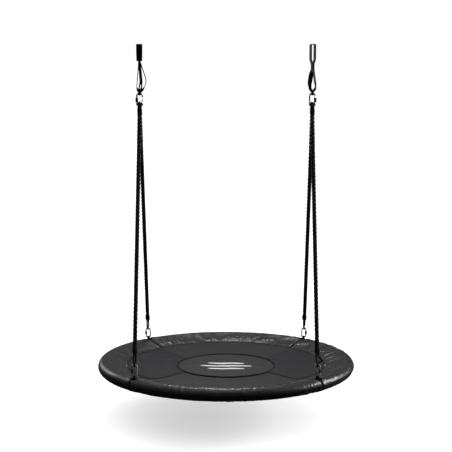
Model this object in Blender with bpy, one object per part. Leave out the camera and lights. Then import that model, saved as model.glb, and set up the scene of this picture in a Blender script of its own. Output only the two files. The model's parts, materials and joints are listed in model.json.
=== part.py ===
"""A round padded saucer swing: a laced ring of steel tube in foam and cloth, hung by two folded ropes from two straps.

Metres, +Z up. The origin is midway between the two faces that the hanging straps bear on, and +Y is the far side.
"""

import math

import bmesh
import bpy
import numpy as np
from mathutils import Matrix, Vector

# ---------------------------------------------------------------- driving sizes
MM = 0.001
GAP = 0.4 * MM  # between pieces that touch

HANG_X = 0.3634  # each hanging point is this far to the side
RIM_Z = -1.3585  # mid-plane of the padded rim

TUBE_RING_R = 0.5235  # centreline of the rim's steel tube
TUBE_R = 13.0 * MM
TUBE_WALL = 1.5 * MM
COUPLER_WALL = 1.5 * MM
COUPLER_HALF_ANGLE = math.radians(5.0)
FOAM_BORE_R = 15.5 * MM
FOAM_R = 24.5 * MM
SLEEVE_R = 26.5 * MM  # the sleeve's round part, about the tube
SLEEVE_WALL = 1.2 * MM
SEAM_R = 0.428  # where the sleeves are sewn to the seat cloth
SEAM_DROP = 3.0 * MM  # the seam is this far below the rim's mid-plane
SEAM_HALF = 2.0 * MM  # half the sleeve's height at the seam

RING_SIDES = 48  # every ring-shaped piece is a polygon of this many sides
TUBE_SIDES = 8
FOAM_SIDES = 10

TAB_WEB = 2.0 * MM
TAB_WIDTH = 20.0 * MM  # round the tube
TAB_NECK = 9.4 * MM  # inside the link
TAB_FOAM_GAP = 13.0 * MM  # from a tab's middle to the foam's end
TAB_SLEEVE_GAP = 4.0 * MM  # from a tab's middle to the sleeve's end
NOTCH_R = 17.0 * MM  # the sleeve's opening over each tab

MAT_THICK = 1.6 * MM
MAT_SAG = 14.0 * MM
PANEL_THICK = 1.2 * MM
CENTRE_R = 0.2115
PIPING_R = 2.6 * MM
PANEL_OUTER_R = 0.420
PANEL_CORNER_ANGLE = math.radians(42.0)
PANEL_LIFT = 0.7 * MM  # clear of the curved cloth under it

ROPE_R = 8.0 * MM
EYE_CORD_R = 4.0 * MM
LEG_HALF_GAP = 9.0 * MM  # from a side's mid-plane to each rope under the seizing

TOP_LINK = {"wire": 3.5 * MM, "bow": 12.0 * MM, "length": 54.4 * MM}
TOP_NUT = {"low": 17.6 * MM, "long": 18.0 * MM, "flats": 11.0 * MM}
SEAT_LINK = {"wire": 3.0 * MM, "bow": 9.5 * MM, "length": 51.0 * MM}
SEAT_NUT = {"low": 17.0 * MM, "long": 14.0 * MM, "flats": 10.0 * MM}
LINK_GAP = 7.0 * MM  # the opening in the wire that the nut closes

BIGHT_Z = -0.2571  # middle of the top link's lowest wire, which the rope hangs on
TOP_WIRE_Z = BIGHT_Z + TOP_LINK["length"]  # middle of the wire in the strap's eye
SEAT_WIRE_Z = RIM_Z + 31.5 * MM  # middle of the seat link's lowest wire

RING_STEP = math.tau / RING_SIDES
TAB_SIDE = 6.5 * RING_STEP  # the tabs stand on the ring's sides that face this way
TAB_Y = (TUBE_RING_R * math.cos(RING_STEP / 2) - HANG_X * math.cos(TAB_SIDE)) / math.sin(TAB_SIDE)

STRAP_WEB = 2.2 * MM
STRAP_WIDTH = 25.0 * MM
STRAP_NECK = 11.4 * MM  # bunched inside the link
STRAP_EYE_HALF = 9.5 * MM  # half the width of the upper eye, to the webbing's middle

SIDES = {"left": -1, "right": 1}
CORNERS = {
    "front_left": (-1, -1),
    "front_right": (1, -1),
    "rear_left": (-1, 1),
    "rear_right": (1, 1),
}

X_AXIS = np.array([1.0, 0.0, 0.0])
Y_AXIS = np.array([0.0, 1.0, 0.0])
Z_AXIS = np.array([0.0, 0.0, 1.0])

# ---------------------------------------------------------------- scene and materials
for old in list(bpy.data.objects):
    bpy.data.objects.remove(old, do_unlink=True)

scene = bpy.context.scene
parts = bpy.data.collections.new("saucer_swing")
helpers = bpy.data.collections.new("cutters")
scene.collection.children.link(parts)
scene.collection.children.link(helpers)

LOOKS = {
    "webbing": ((0.020, 0.020, 0.022, 1.0), 0.85, 0.0),
    "rope": ((0.018, 0.018, 0.018, 1.0), 0.80, 0.0),
    "twine": ((0.012, 0.012, 0.012, 1.0), 0.75, 0.0),
    "steel": ((0.72, 0.72, 0.72, 1.0), 0.22, 1.0),
    "dark_steel": ((0.10, 0.10, 0.10, 1.0), 0.35, 1.0),
    "tube_steel": ((0.45, 0.46, 0.47, 1.0), 0.35, 1.0),
    "foam": ((0.05, 0.05, 0.05, 1.0), 0.95, 0.0),
    "cloth": ((0.055, 0.056, 0.062, 1.0), 0.60, 0.0),
    "panel_cloth": ((0.085, 0.086, 0.092, 1.0), 0.60, 0.0),
}


def finish_object(name, mesh, look):
    """One visible piece with a material of its own."""
    obj = bpy.data.objects.new(name, mesh)
    color, rough, metal = LOOKS[look]
    material = bpy.data.materials.new(name)
    material.use_nodes = True
    shader = material.node_tree.nodes["Principled BSDF"]
    shader.inputs["Base Color"].default_value = color
    shader.inputs["Roughness"].default_value = rough
    shader.inputs["Metallic"].default_value = metal
    mesh.materials.append(material)
    parts.objects.link(obj)
    return obj


def make_mesh(name, points, faces):
    """A mesh whose faces point outwards."""
    mesh = bpy.data.meshes.new(name)
    mesh.from_pydata([tuple(point) for point in points], [], faces)
    work = bmesh.new()
    work.from_mesh(mesh)
    bmesh.ops.recalc_face_normals(work, faces=work.faces)
    work.to_mesh(mesh)
    work.free()
    return mesh


def helper(name, mesh):
    """A shape that only cuts or adds to another, and isn't a piece itself."""
    obj = bpy.data.objects.new(name, mesh)
    obj.hide_render = True
    obj.display_type = "WIRE"
    helpers.objects.link(obj)
    return obj


def boolean(obj, other, operation):
    modifier = obj.modifiers.new(other.name, "BOOLEAN")
    modifier.operation = operation
    modifier.solver = "EXACT"
    modifier.object = other


# ---------------------------------------------------------------- shapes
def skin(rings, closed):
    """The quads between rings of points, as faces over all the rings' points."""
    count = len(rings[0])
    faces = []
    for i in range(len(rings) if closed else len(rings) - 1):
        here = i * count
        there = (i + 1) % len(rings) * count
        for j in range(count):
            k = (j + 1) % count
            faces.append((here + j, here + k, there + k, there + j))
    return faces


def solid_sweep(name, rings, closed=False):
    """A body through rings of points, closed on itself or with flat ends."""
    count = len(rings[0])
    points = [point for ring in rings for point in ring]
    faces = skin(rings, closed)
    if not closed:
        faces.append(tuple(range(count)))
        faces.append(tuple(range(len(points) - count, len(points))))
    return make_mesh(name, points, faces)


def hollow_sweep(name, outer, inner):
    """A pipe-like body between two sets of rings, open at both ends."""
    count = len(outer[0])
    size = count * len(outer)
    points = [point for ring in outer for point in ring]
    points += [point for ring in inner for point in ring]
    faces = skin(outer, False)
    faces += [tuple(size + corner for corner in face) for face in skin(inner, False)]
    for first in (0, size - count):
        for j in range(count):
            k = (j + 1) % count
            faces.append((first + j, first + k, size + first + k, size + first + j))
    return make_mesh(name, points, faces)


def unit(vector):
    return vector / np.linalg.norm(vector)


def smooth_step(value):
    value = min(max(value, 0.0), 1.0)
    return value * value * (3.0 - 2.0 * value)


def tangents(points, closed):
    points = np.array(points)
    if closed:
        return [unit(points[(i + 1) % len(points)] - points[i - 1]) for i in range(len(points))]
    ahead = [points[min(i + 1, len(points) - 1)] - points[max(i - 1, 0)] for i in range(len(points))]
    return [unit(step) for step in ahead]


def round_rings(points, radius, sides, normals, closed=False):
    """Circles along a path. Each normal is a direction across the path there."""
    rings = []
    for point, along, normal in zip(points, tangents(points, closed), normals):
        first = unit(normal - along * np.dot(normal, along))
        second = np.cross(along, first)
        ring = []
        for k in range(sides):
            turn = math.tau * (k + 0.5) / sides
            ring.append(point + radius * (math.cos(turn) * first + math.sin(turn) * second))
        rings.append(ring)
    return rings


def rounded_loop(corners, radii, steps):
    """A closed outline with rounded corners, as (point, direction along it) pairs in a plane."""
    count = len(corners)
    found = []
    for i in range(count):
        corner = np.array(corners[i], float)
        back = unit(np.array(corners[i - 1], float) - corner)
        on = unit(np.array(corners[(i + 1) % count], float) - corner)
        half = math.acos(max(-1.0, min(1.0, float(np.dot(back, on))))) / 2
        middle = corner + unit(back + on) * radii[i] / math.sin(half)
        start = corner + back * radii[i] / math.tan(half) - middle
        sweep = math.pi - 2 * half
        turn = math.copysign(1.0, -back[0] * on[1] + back[1] * on[0])
        for k in range(steps[i] + 1):
            angle = turn * sweep * k / steps[i]
            c, s = math.cos(angle), math.sin(angle)
            spoke = np.array([c * start[0] - s * start[1], s * start[0] + c * start[1]])
            found.append((middle + spoke, unit(np.array([-spoke[1], spoke[0]])) * turn))
    return found


def stepped(loop, longest):
    """The outline with points added along its long straights, so that the webbing can turn between its corners."""
    found = []
    for i, (point, along) in enumerate(loop):
        found.append((point, along))
        ahead = loop[(i + 1) % len(loop)][0]
        count = int(np.linalg.norm(ahead - point) / longest)
        for k in range(1, count + 1):
            step = (ahead - point) / (count + 1)
            found.append((point + step * k, unit(step)))
    return found


def ribbon_loop(name, loop, place, width_axis, width_at, thick):
    """Webbing round a plane outline. place maps the outline into space, and width_axis and width_at give its flat side."""
    rings = []
    for point, along in loop:
        small = 0.1 * MM
        ahead = unit(place(point + along * small) - place(point - along * small))
        across = width_axis(point)
        across = unit(across - ahead * np.dot(across, ahead))
        face = np.cross(ahead, across)
        centre = place(point)
        w, t = width_at(point) / 2, thick / 2
        rings.append([
            centre + across * w + face * t,
            centre - across * w + face * t,
            centre - across * w - face * t,
            centre + across * w - face * t,
        ])
    return solid_sweep(name, rings, closed=True)


# ---------------------------------------------------------------- ring-shaped pieces

def ring_scale(angle):
    """How far in the ring's straight side lies at this angle, compared with the circle through its corners."""
    middle = (math.floor(angle / RING_STEP + 1e-9) + 0.5) * RING_STEP
    return math.cos(RING_STEP / 2) / math.cos(angle - middle)


def stations(start, end):
    """The angles of a ring piece's sections: its two ends and the ring's corners between them."""
    first = math.ceil(start / RING_STEP + 1e-6)
    last = math.floor(end / RING_STEP - 1e-6)
    return [start] + [k * RING_STEP for k in range(first, last + 1)] + [end]


def at_ring(angle, radius, height):
    reach = radius * ring_scale(angle)
    return np.array([reach * math.cos(angle), reach * math.sin(angle), RIM_Z + height])


def ring_sections(angles, outline):
    """One ring of points for each angle. The outline is in (distance out from the tube's centre, height)."""
    return [[at_ring(angle, TUBE_RING_R + out, up) for out, up in outline] for angle in angles]


def circle_outline(radius, sides=TUBE_SIDES):
    turns = [math.tau * (k + 0.5) / sides for k in range(sides)]
    return [(radius * math.cos(turn), radius * math.sin(turn)) for turn in turns]


def sleeve_outline(radius, seam_r, seam_half):
    """Round over the foam, and drawn in to the seam beside the seat cloth."""
    seam_out = seam_r - TUBE_RING_R
    lean = math.atan2(-SEAM_DROP, seam_out) % math.tau
    spread = math.acos(radius / math.hypot(seam_out, SEAM_DROP))
    top, foot = lean - spread, lean + spread - math.tau
    steps = 8
    turns = [foot + (top - foot) * k / steps for k in range(steps + 1)]
    outline = [(radius * math.cos(turn), radius * math.sin(turn)) for turn in turns]
    outline.append((seam_out, seam_half - SEAM_DROP))
    outline.append((seam_out, -seam_half - SEAM_DROP))
    return outline


def tab_angle(corner):
    """The angle of a corner's tab round the ring."""
    side, rear = CORNERS[corner]
    return math.atan2(rear * TAB_Y, side * HANG_X) % math.tau


TUBE_STARTS = {"rear_right": 0, "rear_left": 90, "front_left": 180, "front_right": 270}
TUBE_END_GAP = 0.5 * MM / TUBE_RING_R
for place_name, start in TUBE_STARTS.items():
    angles = stations(math.radians(start) + TUBE_END_GAP, math.radians(start + 90) - TUBE_END_GAP)
    outer = ring_sections(angles, circle_outline(TUBE_R))
    inner = ring_sections(angles, circle_outline(TUBE_R - TUBE_WALL))
    finish_object(
        "rim_tube_" + place_name,
        hollow_sweep("rim_tube_" + place_name, outer, inner),
        "tube_steel",
    )

COUPLER_R = TUBE_R - TUBE_WALL - GAP
JOINTS = {"right": 0, "rear": 90, "left": 180, "front": 270}
for place_name, middle in JOINTS.items():
    middle = math.radians(middle + 360)
    angles = stations(middle - COUPLER_HALF_ANGLE, middle + COUPLER_HALF_ANGLE)
    outer = ring_sections(angles, circle_outline(COUPLER_R))
    inner = ring_sections(angles, circle_outline(COUPLER_R - COUPLER_WALL))
    finish_object(
        "tube_coupler_" + place_name,
        hollow_sweep("tube_coupler_" + place_name, outer, inner),
        "dark_steel",
    )

# A screw through each tube's end into the coupler, from below.
SCREW_ANGLE = math.radians(2.6)
SCREW_R = 2.0 * MM
SCREW_HEAD_R = 4.2 * MM
SCREW_HEAD = 1.4 * MM
SCREW_LENGTH = 7.0 * MM
SCREW_SIDES = 6


def upright_ring(centre, radius, height, sides):
    ring = []
    for k in range(sides):
        turn = math.tau * (k + 0.5) / sides
        ring.append(np.array([
            centre[0] + radius * math.cos(turn),
            centre[1] + radius * math.sin(turn),
            height,
        ]))
    return ring


TUBE_FLAT = TUBE_R * math.cos(math.pi / TUBE_SIDES)
for place_name, middle in JOINTS.items():
    for end_name, sign, tube_shift in (("a", -1, -90), ("b", 1, 0)):
        angle = math.radians(middle + 360) + sign * SCREW_ANGLE
        centre = at_ring(angle, TUBE_RING_R, 0.0)
        under = RIM_Z - TUBE_FLAT - 0.3 * MM
        profile = (
            (SCREW_HEAD_R * 0.8, under - SCREW_HEAD),
            (SCREW_HEAD_R, under - SCREW_HEAD / 2),
            (SCREW_HEAD_R, under),
            (SCREW_R, under),
            (SCREW_R, under + SCREW_LENGTH),
        )
        rings = [upright_ring(centre, radius, height, SCREW_SIDES) for radius, height in profile]
        screw_name = f"coupler_screw_{place_name}_{end_name}"
        finish_object(screw_name, solid_sweep(screw_name, rings), "steel")
        reach = (under - 1.0 * MM, under + SCREW_LENGTH + 2.0 * MM)
        drill = helper(
            "drill_" + screw_name,
            solid_sweep("drill_" + screw_name, [
                upright_ring(centre, SCREW_R + GAP, height, SCREW_SIDES) for height in reach
            ]),
        )
        tube_start = (middle + tube_shift) % 360
        tube_name = next(key for key, value in TUBE_STARTS.items() if value == tube_start)
        boolean(bpy.data.objects["rim_tube_" + tube_name], drill, "DIFFERENCE")
        boolean(bpy.data.objects["tube_coupler_" + place_name], drill, "DIFFERENCE")

# Foam and cloth sleeves between one tab and the next.
SPANS = {
    "right": ("front_right", "rear_right"),
    "rear": ("rear_right", "rear_left"),
    "left": ("rear_left", "front_left"),
    "front": ("front_left", "front_right"),
}
NOTCH_LOW = 13.5 * MM
NOTCH_HIGH = 40.0 * MM
notches = {}
for corner in CORNERS:
    centre = at_ring(tab_angle(corner), TUBE_RING_R, 0.0)
    rings = [upright_ring(centre, NOTCH_R, RIM_Z + height, 16) for height in (NOTCH_LOW, NOTCH_HIGH)]
    notches[corner] = helper("notch_" + corner, solid_sweep("notch_" + corner, rings))

for place_name, (from_corner, to_corner) in SPANS.items():
    start, end = tab_angle(from_corner), tab_angle(to_corner)
    if end < start:
        end += math.tau
    foam_turn = TAB_FOAM_GAP / TUBE_RING_R
    angles = stations(start + foam_turn, end - foam_turn)
    outer = ring_sections(angles, circle_outline(FOAM_R, FOAM_SIDES))
    inner = ring_sections(angles, circle_outline(FOAM_BORE_R, FOAM_SIDES))
    foam = finish_object(
        "rim_foam_" + place_name,
        hollow_sweep("rim_foam_" + place_name, outer, inner),
        "foam",
    )
    sleeve_turn = TAB_SLEEVE_GAP / TUBE_RING_R
    angles = stations(start + sleeve_turn, end - sleeve_turn)
    outer = ring_sections(angles, sleeve_outline(SLEEVE_R, SEAM_R, SEAM_HALF))
    inner = ring_sections(
        angles,
        sleeve_outline(SLEEVE_R - SLEEVE_WALL, SEAM_R + 3 * SLEEVE_WALL, SEAM_HALF - SLEEVE_WALL),
    )
    sleeve = finish_object(
        "rim_sleeve_" + place_name,
        hollow_sweep("rim_sleeve_" + place_name, outer, inner),
        "cloth",
    )
    for corner in (from_corner, to_corner):
        boolean(foam, notches[corner], "DIFFERENCE")
        boolean(sleeve, notches[corner], "DIFFERENCE")

# ---------------------------------------------------------------- seat cloth
MAT_R = SEAM_R - GAP


def cloth_height(radius):
    """Top of the seat cloth, from the rim's mid-plane, at this distance from the middle."""
    return -SEAM_DROP + MAT_THICK / 2 - MAT_SAG * (1.0 - (radius / MAT_R) ** 2)


def disc(name, radii, lift, thick):
    """A dished disc of cloth, with its rings of points at these radii."""
    points = []
    for step in (lift + thick, lift):
        points.append(np.array([0.0, 0.0, RIM_Z + cloth_height(0.0) + step]))
        for radius in radii:
            for k in range(RING_SIDES):
                point = at_ring(k * RING_STEP, radius, cloth_height(radius) + step)
                points.append(point)
    layer = 1 + RING_SIDES * len(radii)
    faces = []
    for base in (0, layer):
        for k in range(RING_SIDES):
            after = (k + 1) % RING_SIDES
            faces.append((base, base + 1 + k, base + 1 + after))
            for ring in range(len(radii) - 1):
                low = base + 1 + ring * RING_SIDES
                high = low + RING_SIDES
                faces.append((low + k, high + k, high + after, low + after))
    edge = 1 + RING_SIDES * (len(radii) - 1)
    for k in range(RING_SIDES):
        after = (k + 1) % RING_SIDES
        faces.append((edge + k, edge + after, layer + edge + after, layer + edge + k))
    return make_mesh(name, points, faces)


finish_object(
    "seat_mat",
    disc("seat_mat", (0.15, 0.3, MAT_R), -MAT_THICK, MAT_THICK),
    "cloth",
)
PANEL_EDGE = CENTRE_R - 2 * PIPING_R
finish_object(
    "centre_panel",
    disc("centre_panel", (0.12, PANEL_EDGE), PANEL_LIFT, PANEL_THICK),
    "panel_cloth",
)

# The piping is a soft cord sewn round the middle panel.
piping_angles = [k * RING_STEP for k in range(RING_SIDES)]
PIPING_RING_R = PANEL_EDGE + GAP + PIPING_R
piping_height = cloth_height(PIPING_RING_R) + PANEL_LIFT + PIPING_R
piping_points = [at_ring(angle, PIPING_RING_R, piping_height) for angle in piping_angles]
finish_object(
    "centre_piping",
    solid_sweep(
        "centre_piping",
        round_rings(piping_points, PIPING_R, 5, [Z_AXIS] * RING_SIDES, closed=True),
        closed=True,
    ),
    "twine",
)

# Each side panel fills the space between the middle panel and the rim, and narrows towards the middle.
PANEL_INNER_R = PIPING_RING_R + PIPING_R + GAP
PANEL_INNER_ANGLE = math.radians(36.0)
PANEL_ROWS = 5
PANEL_COLUMNS = 14


def side_panel(name, side):
    """A petal of cloth lying on the mat."""
    rows = []
    for row in range(PANEL_ROWS + 1):
        share = row / PANEL_ROWS
        half_angle = PANEL_INNER_ANGLE + (PANEL_CORNER_ANGLE - PANEL_INNER_ANGLE) * smooth_step(share * 1.3)
        line = []
        for column in range(PANEL_COLUMNS + 1):
            across = 2.0 * column / PANEL_COLUMNS - 1.0
            round_off = 1.0 - 0.05 * abs(across) ** 8
            radius = PANEL_INNER_R + (PANEL_OUTER_R * round_off - PANEL_INNER_R) * share
            angle = across * half_angle
            line.append((side * radius * math.cos(angle), radius * math.sin(angle)))
        rows.append(line)
    points = []
    for lift in (PANEL_LIFT + PANEL_THICK, PANEL_LIFT):
        for line in rows:
            for x, y in line:
                height = cloth_height(math.hypot(x, y)) + lift
                points.append(np.array([x, y, RIM_Z + height]))
    across = PANEL_COLUMNS + 1
    layer = across * (PANEL_ROWS + 1)
    faces = []
    for base in (0, layer):
        for row in range(PANEL_ROWS):
            for column in range(PANEL_COLUMNS):
                corner = base + row * across + column
                faces.append((corner, corner + 1, corner + 1 + across, corner + across))
    border = [column for column in range(across)]
    border += [row * across + across - 1 for row in range(1, PANEL_ROWS + 1)]
    border += [PANEL_ROWS * across + column for column in range(across - 2, -1, -1)]
    border += [row * across for row in range(PANEL_ROWS - 1, 0, -1)]
    for i, here in enumerate(border):
        there = border[(i + 1) % len(border)]
        faces.append((here, there, layer + there, layer + here))
    return make_mesh(name, points, faces)


for side_name, side in SIDES.items():
    panel_name = "side_panel_" + side_name
    finish_object(panel_name, side_panel(panel_name, side), "panel_cloth")


# ---------------------------------------------------------------- quick links
def link_path(shape, nut, opening_side):
    """The wire's centreline as (across, up) from the middle of the lowest wire. It starts and ends at the opening."""
    bow, length = shape["bow"], shape["length"]
    low = nut["low"] + (nut["long"] - LINK_GAP) / 2
    path = [(1.0, low)]
    steps = 8
    for k in range(steps + 1):
        turn = math.pi * k / steps
        path.append((math.cos(turn), bow - bow * math.sin(turn)))
    for k in range(steps + 1):
        turn = math.pi * (1.0 - k / steps)
        path.append((math.cos(turn), length - bow + bow * math.sin(turn)))
    path.append((1.0, low + LINK_GAP))
    return [(opening_side * bow * across, up) for across, up in path]


def link(name, shape, nut, opening_side, foot, up_axis):
    """A quick link standing on foot, with its nut on the opening's side. Its flat side faces across the X axis."""
    points = [foot + X_AXIS * across + up_axis * up for across, up in link_path(shape, nut, opening_side)]
    normal = np.cross(X_AXIS, up_axis)
    rings = round_rings(points, shape["wire"], 8, [normal] * len(points))
    finish_object(name, solid_sweep(name, rings), "steel")
    leg = foot + X_AXIS * opening_side * shape["bow"]
    sides = 12
    outer, inner = [], []
    chamfer = 1.0 * MM
    corner_r = nut["flats"] / 2 / math.cos(math.pi / 6)
    for height, shrink in (
        (nut["low"], 0.9),
        (nut["low"] + chamfer, 1.0),
        (nut["low"] + nut["long"] - chamfer, 1.0),
        (nut["low"] + nut["long"], 0.9),
    ):
        out_ring, in_ring = [], []
        for k in range(sides):
            turn = math.tau * k / sides
            spoke = X_AXIS * math.cos(turn) + normal * math.sin(turn)
            reach = corner_r if k % 2 else nut["flats"] / 2
            out_ring.append(leg + up_axis * height + spoke * reach * shrink)
            in_ring.append(leg + up_axis * height + spoke * (shape["wire"] + GAP))
        outer.append(out_ring)
        inner.append(in_ring)
    nut_name = name.replace("link", "link_nut")
    finish_object(nut_name, hollow_sweep(nut_name, outer, inner), "dark_steel")


for side_name, side in SIDES.items():
    foot = np.array([side * HANG_X, 0.0, BIGHT_Z])
    link("top_link_" + side_name, TOP_LINK, TOP_NUT, side, foot, Z_AXIS)

# Below the seizing each rope runs straight to its corner, and the seat link lies in that line.
SEIZING_TOP = BIGHT_Z - 8.0 * MM
SEIZING_LONG = 26.0 * MM
LEG_TOP_Z = SEIZING_TOP - SEIZING_LONG - 4.0 * MM
corner_up = {}
corner_foot = {}
for corner, (side, rear) in CORNERS.items():
    foot = np.array([side * HANG_X, rear * TAB_Y, SEAT_WIRE_Z])
    leg_top = np.array([side * HANG_X, rear * LEG_HALF_GAP, LEG_TOP_Z])
    corner_foot[corner] = foot
    corner_up[corner] = unit(leg_top - foot)
    link("seat_link_" + corner, SEAT_LINK, SEAT_NUT, side, foot, corner_up[corner])

# ---------------------------------------------------------------- ropes
EYE_FOOT = SEAT_LINK["length"] - SEAT_LINK["wire"] - EYE_CORD_R - GAP  # the cord's middle, up from the seat wire
EYE_BEND = SEAT_LINK["wire"] + EYE_CORD_R + 2 * GAP
EYE_THROAT = EYE_FOOT + 42.0 * MM
EYE_TWIST_LOW = 11.0 * MM  # the eye turns only above its link
EYE_TWIST_RISE = 16.0 * MM
WHIPPING_FOOT = EYE_THROAT + 11.0 * MM
EYE_TAIL = EYE_THROAT + 20.0 * MM  # the cord ends inside the rope
WHIPPING_LONG = 20.0 * MM
# How far each eye's two strands stand off to the left and right of the rope's line, and how far the eye is turned.
EYE_SHAPES = {
    "front_left": (7.0 * MM, 7.0 * MM, 65.0),
    "front_right": (6.0 * MM, 24.0 * MM, 80.0),
    "rear_left": (7.0 * MM, 7.0 * MM, 55.0),
    "rear_right": (7.0 * MM, 7.0 * MM, 55.0),
}


def eye_mesh(name, corner):
    """The loop of thinner cord at a rope's end, hooked through its seat link."""
    left, right, turn = EYE_SHAPES[corner]
    up_axis = corner_up[corner]
    away = np.cross(X_AXIS, up_axis)
    away = away * math.copysign(1.0, away[1])
    foot = corner_foot[corner]

    def place(point):
        share = smooth_step((point[1] - EYE_FOOT - EYE_TWIST_LOW) / EYE_TWIST_RISE)
        twist = math.radians(turn) * share
        across = away * math.cos(twist) + X_AXIS * math.sin(twist)
        return foot + up_axis * point[1] + across * point[0]

    waist = EYE_FOOT + 0.45 * (EYE_THROAT - EYE_FOOT)
    corners = [
        (-EYE_BEND, EYE_FOOT),
        (EYE_BEND, EYE_FOOT),
        (right, waist),
        (EYE_CORD_R, EYE_THROAT),
        (EYE_CORD_R, EYE_TAIL),
        (-EYE_CORD_R, EYE_TAIL),
        (-EYE_CORD_R, EYE_THROAT),
        (-left, waist),
    ]
    radii = [EYE_BEND * 0.95, EYE_BEND * 0.95, 12 * MM, 20 * MM, 3.5 * MM, 3.5 * MM, 20 * MM, 12 * MM]
    loop = rounded_loop(corners, radii, [3, 3, 2, 1, 1, 1, 1, 2])
    points = [place(point) for point, _ in loop]
    middle = foot + up_axis * (EYE_FOOT + EYE_THROAT) / 2
    normals = [point - middle for point in points]
    rings = round_rings(points, EYE_CORD_R, 6, normals, closed=True)
    return solid_sweep(name, rings, closed=True)


BIGHT_R = TOP_LINK["bow"]
for side_name, side in SIDES.items():
    x = side * HANG_X
    path = []
    for rear in (-1, 1):
        corner = ("front_" if rear < 0 else "rear_") + side_name
        throat = corner_foot[corner] + corner_up[corner] * (WHIPPING_FOOT)
        leg_top = np.array([x, rear * LEG_HALF_GAP, LEG_TOP_Z])
        leg = [throat + (leg_top - throat) * share for share in (0.0, 0.25, 0.5, 0.75, 0.97)]
        leg.append(leg_top + Z_AXIS * 4.0 * MM)
        leg.append(np.array([x, rear * LEG_HALF_GAP, SEIZING_TOP]))
        turns = [0.0, 22.5, 45.0, 67.5]
        for turn in turns:
            turn = math.radians(turn)
            leg.append(np.array([x, rear * BIGHT_R * math.cos(turn), BIGHT_Z + BIGHT_R * math.sin(turn)]))
        if rear < 0:
            path += leg + [np.array([x, 0.0, BIGHT_Z + BIGHT_R])]
        else:
            path += leg[::-1]
    name = "rope_" + side_name
    rope = finish_object(
        name,
        solid_sweep(name, round_rings(path, ROPE_R, 8, [X_AXIS] * len(path))),
        "rope",
    )
    for end in ("front_", "rear_"):
        corner = end + side_name
        boolean(rope, helper("eye_" + corner, eye_mesh("eye_" + corner, corner)), "UNION")

    # The seizing binds the two ropes together under the bight.
    seizing_thick = 2.4 * MM
    outer, inner = [], []
    for height in (SEIZING_TOP - 1.0 * MM, SEIZING_TOP - SEIZING_LONG + 1.0 * MM):
        for rings, reach in ((inner, ROPE_R + GAP), (outer, ROPE_R + GAP + seizing_thick)):
            ring = []
            for rear in (-1, 1):
                for k in range(7):
                    turn = math.pi * (k / 6 - 0.5) + (math.pi / 2 if rear > 0 else -math.pi / 2)
                    ring.append(np.array([
                        x + reach * 1.02 * math.cos(turn),
                        rear * LEG_HALF_GAP + reach * 1.02 * math.sin(turn),
                        height,
                    ]))
            rings.append(ring)
    seizing_name = "rope_seizing_" + side_name
    finish_object(seizing_name, hollow_sweep(seizing_name, outer, inner), "twine")

# A whipping closes each eye's throat.
for corner in CORNERS:
    foot, up_axis = corner_foot[corner], corner_up[corner]
    base = WHIPPING_FOOT
    points = [foot + up_axis * (base + share * WHIPPING_LONG) for share in (0.0, 1.0)]
    outer = round_rings(points, ROPE_R + 2.6 * MM, 12, [X_AXIS] * 2)
    inner = round_rings(points, ROPE_R + 0.6 * MM, 12, [X_AXIS] * 2)
    name = "eye_whipping_" + corner
    finish_object(name, hollow_sweep(name, outer, inner), "twine")

# ---------------------------------------------------------------- tabs on the rim
TAB_BEND = SEAT_LINK["wire"] + 2.4 * MM + TAB_WEB / 2  # round the link's bow
TAB_TUBE_BEND = TUBE_R + 0.5 * MM + TAB_WEB / 2
TAB_TWIST_LOW = 12.0 * MM
TAB_TWIST_HIGH = 26.0 * MM
TAB_TOP = SEAT_WIRE_Z - RIM_Z


def tab(name, corner):
    """A loop of webbing round the tube, turned to face the link that it holds."""
    side, rear = CORNERS[corner]
    angle = tab_angle(corner)
    centre = at_ring(angle, TUBE_RING_R, 0.0)
    outward = np.array([math.cos(angle), math.sin(angle), 0.0])

    def bearing(height):
        """The direction across the loop, which turns from the ring's radius to the Y axis."""
        share = smooth_step((height - TAB_TWIST_LOW) / (TAB_TWIST_HIGH - TAB_TWIST_LOW))
        return unit(outward * (1.0 - share) + Y_AXIS * rear * share)

    def place(point):
        return centre + bearing(point[1]) * point[0] + Z_AXIS * point[1]

    def width_axis(point):
        return np.cross(bearing(point[1]), Z_AXIS)

    def width_at(point):
        share = smooth_step((point[1] - TAB_TWIST_LOW) / (TAB_TWIST_HIGH - TAB_TWIST_LOW))
        return TAB_WIDTH + (TAB_NECK - TAB_WIDTH) * share

    low, high = -TAB_TUBE_BEND, TAB_TOP + TAB_BEND
    corners = [
        (-TAB_TUBE_BEND, low),
        (TAB_TUBE_BEND, low),
        (TAB_TUBE_BEND, 6.0 * MM),
        (TAB_BEND, TAB_TOP - 4.0 * MM),
        (TAB_BEND, high),
        (-TAB_BEND, high),
        (-TAB_BEND, TAB_TOP - 4.0 * MM),
        (-TAB_TUBE_BEND, 6.0 * MM),
    ]
    tube_r, wire_r = TAB_TUBE_BEND * 0.98, TAB_BEND * 0.98
    radii = [tube_r, tube_r, 6 * MM, 6 * MM, wire_r, wire_r, 6 * MM, 6 * MM]
    loop = rounded_loop(corners, radii, [5, 5, 1, 1, 4, 4, 1, 1])
    return ribbon_loop(name, loop, place, width_axis, width_at, TAB_WEB)


for corner in CORNERS:
    name = "rim_tab_" + corner
    finish_object(name, tab(name, corner), "webbing")

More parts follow.
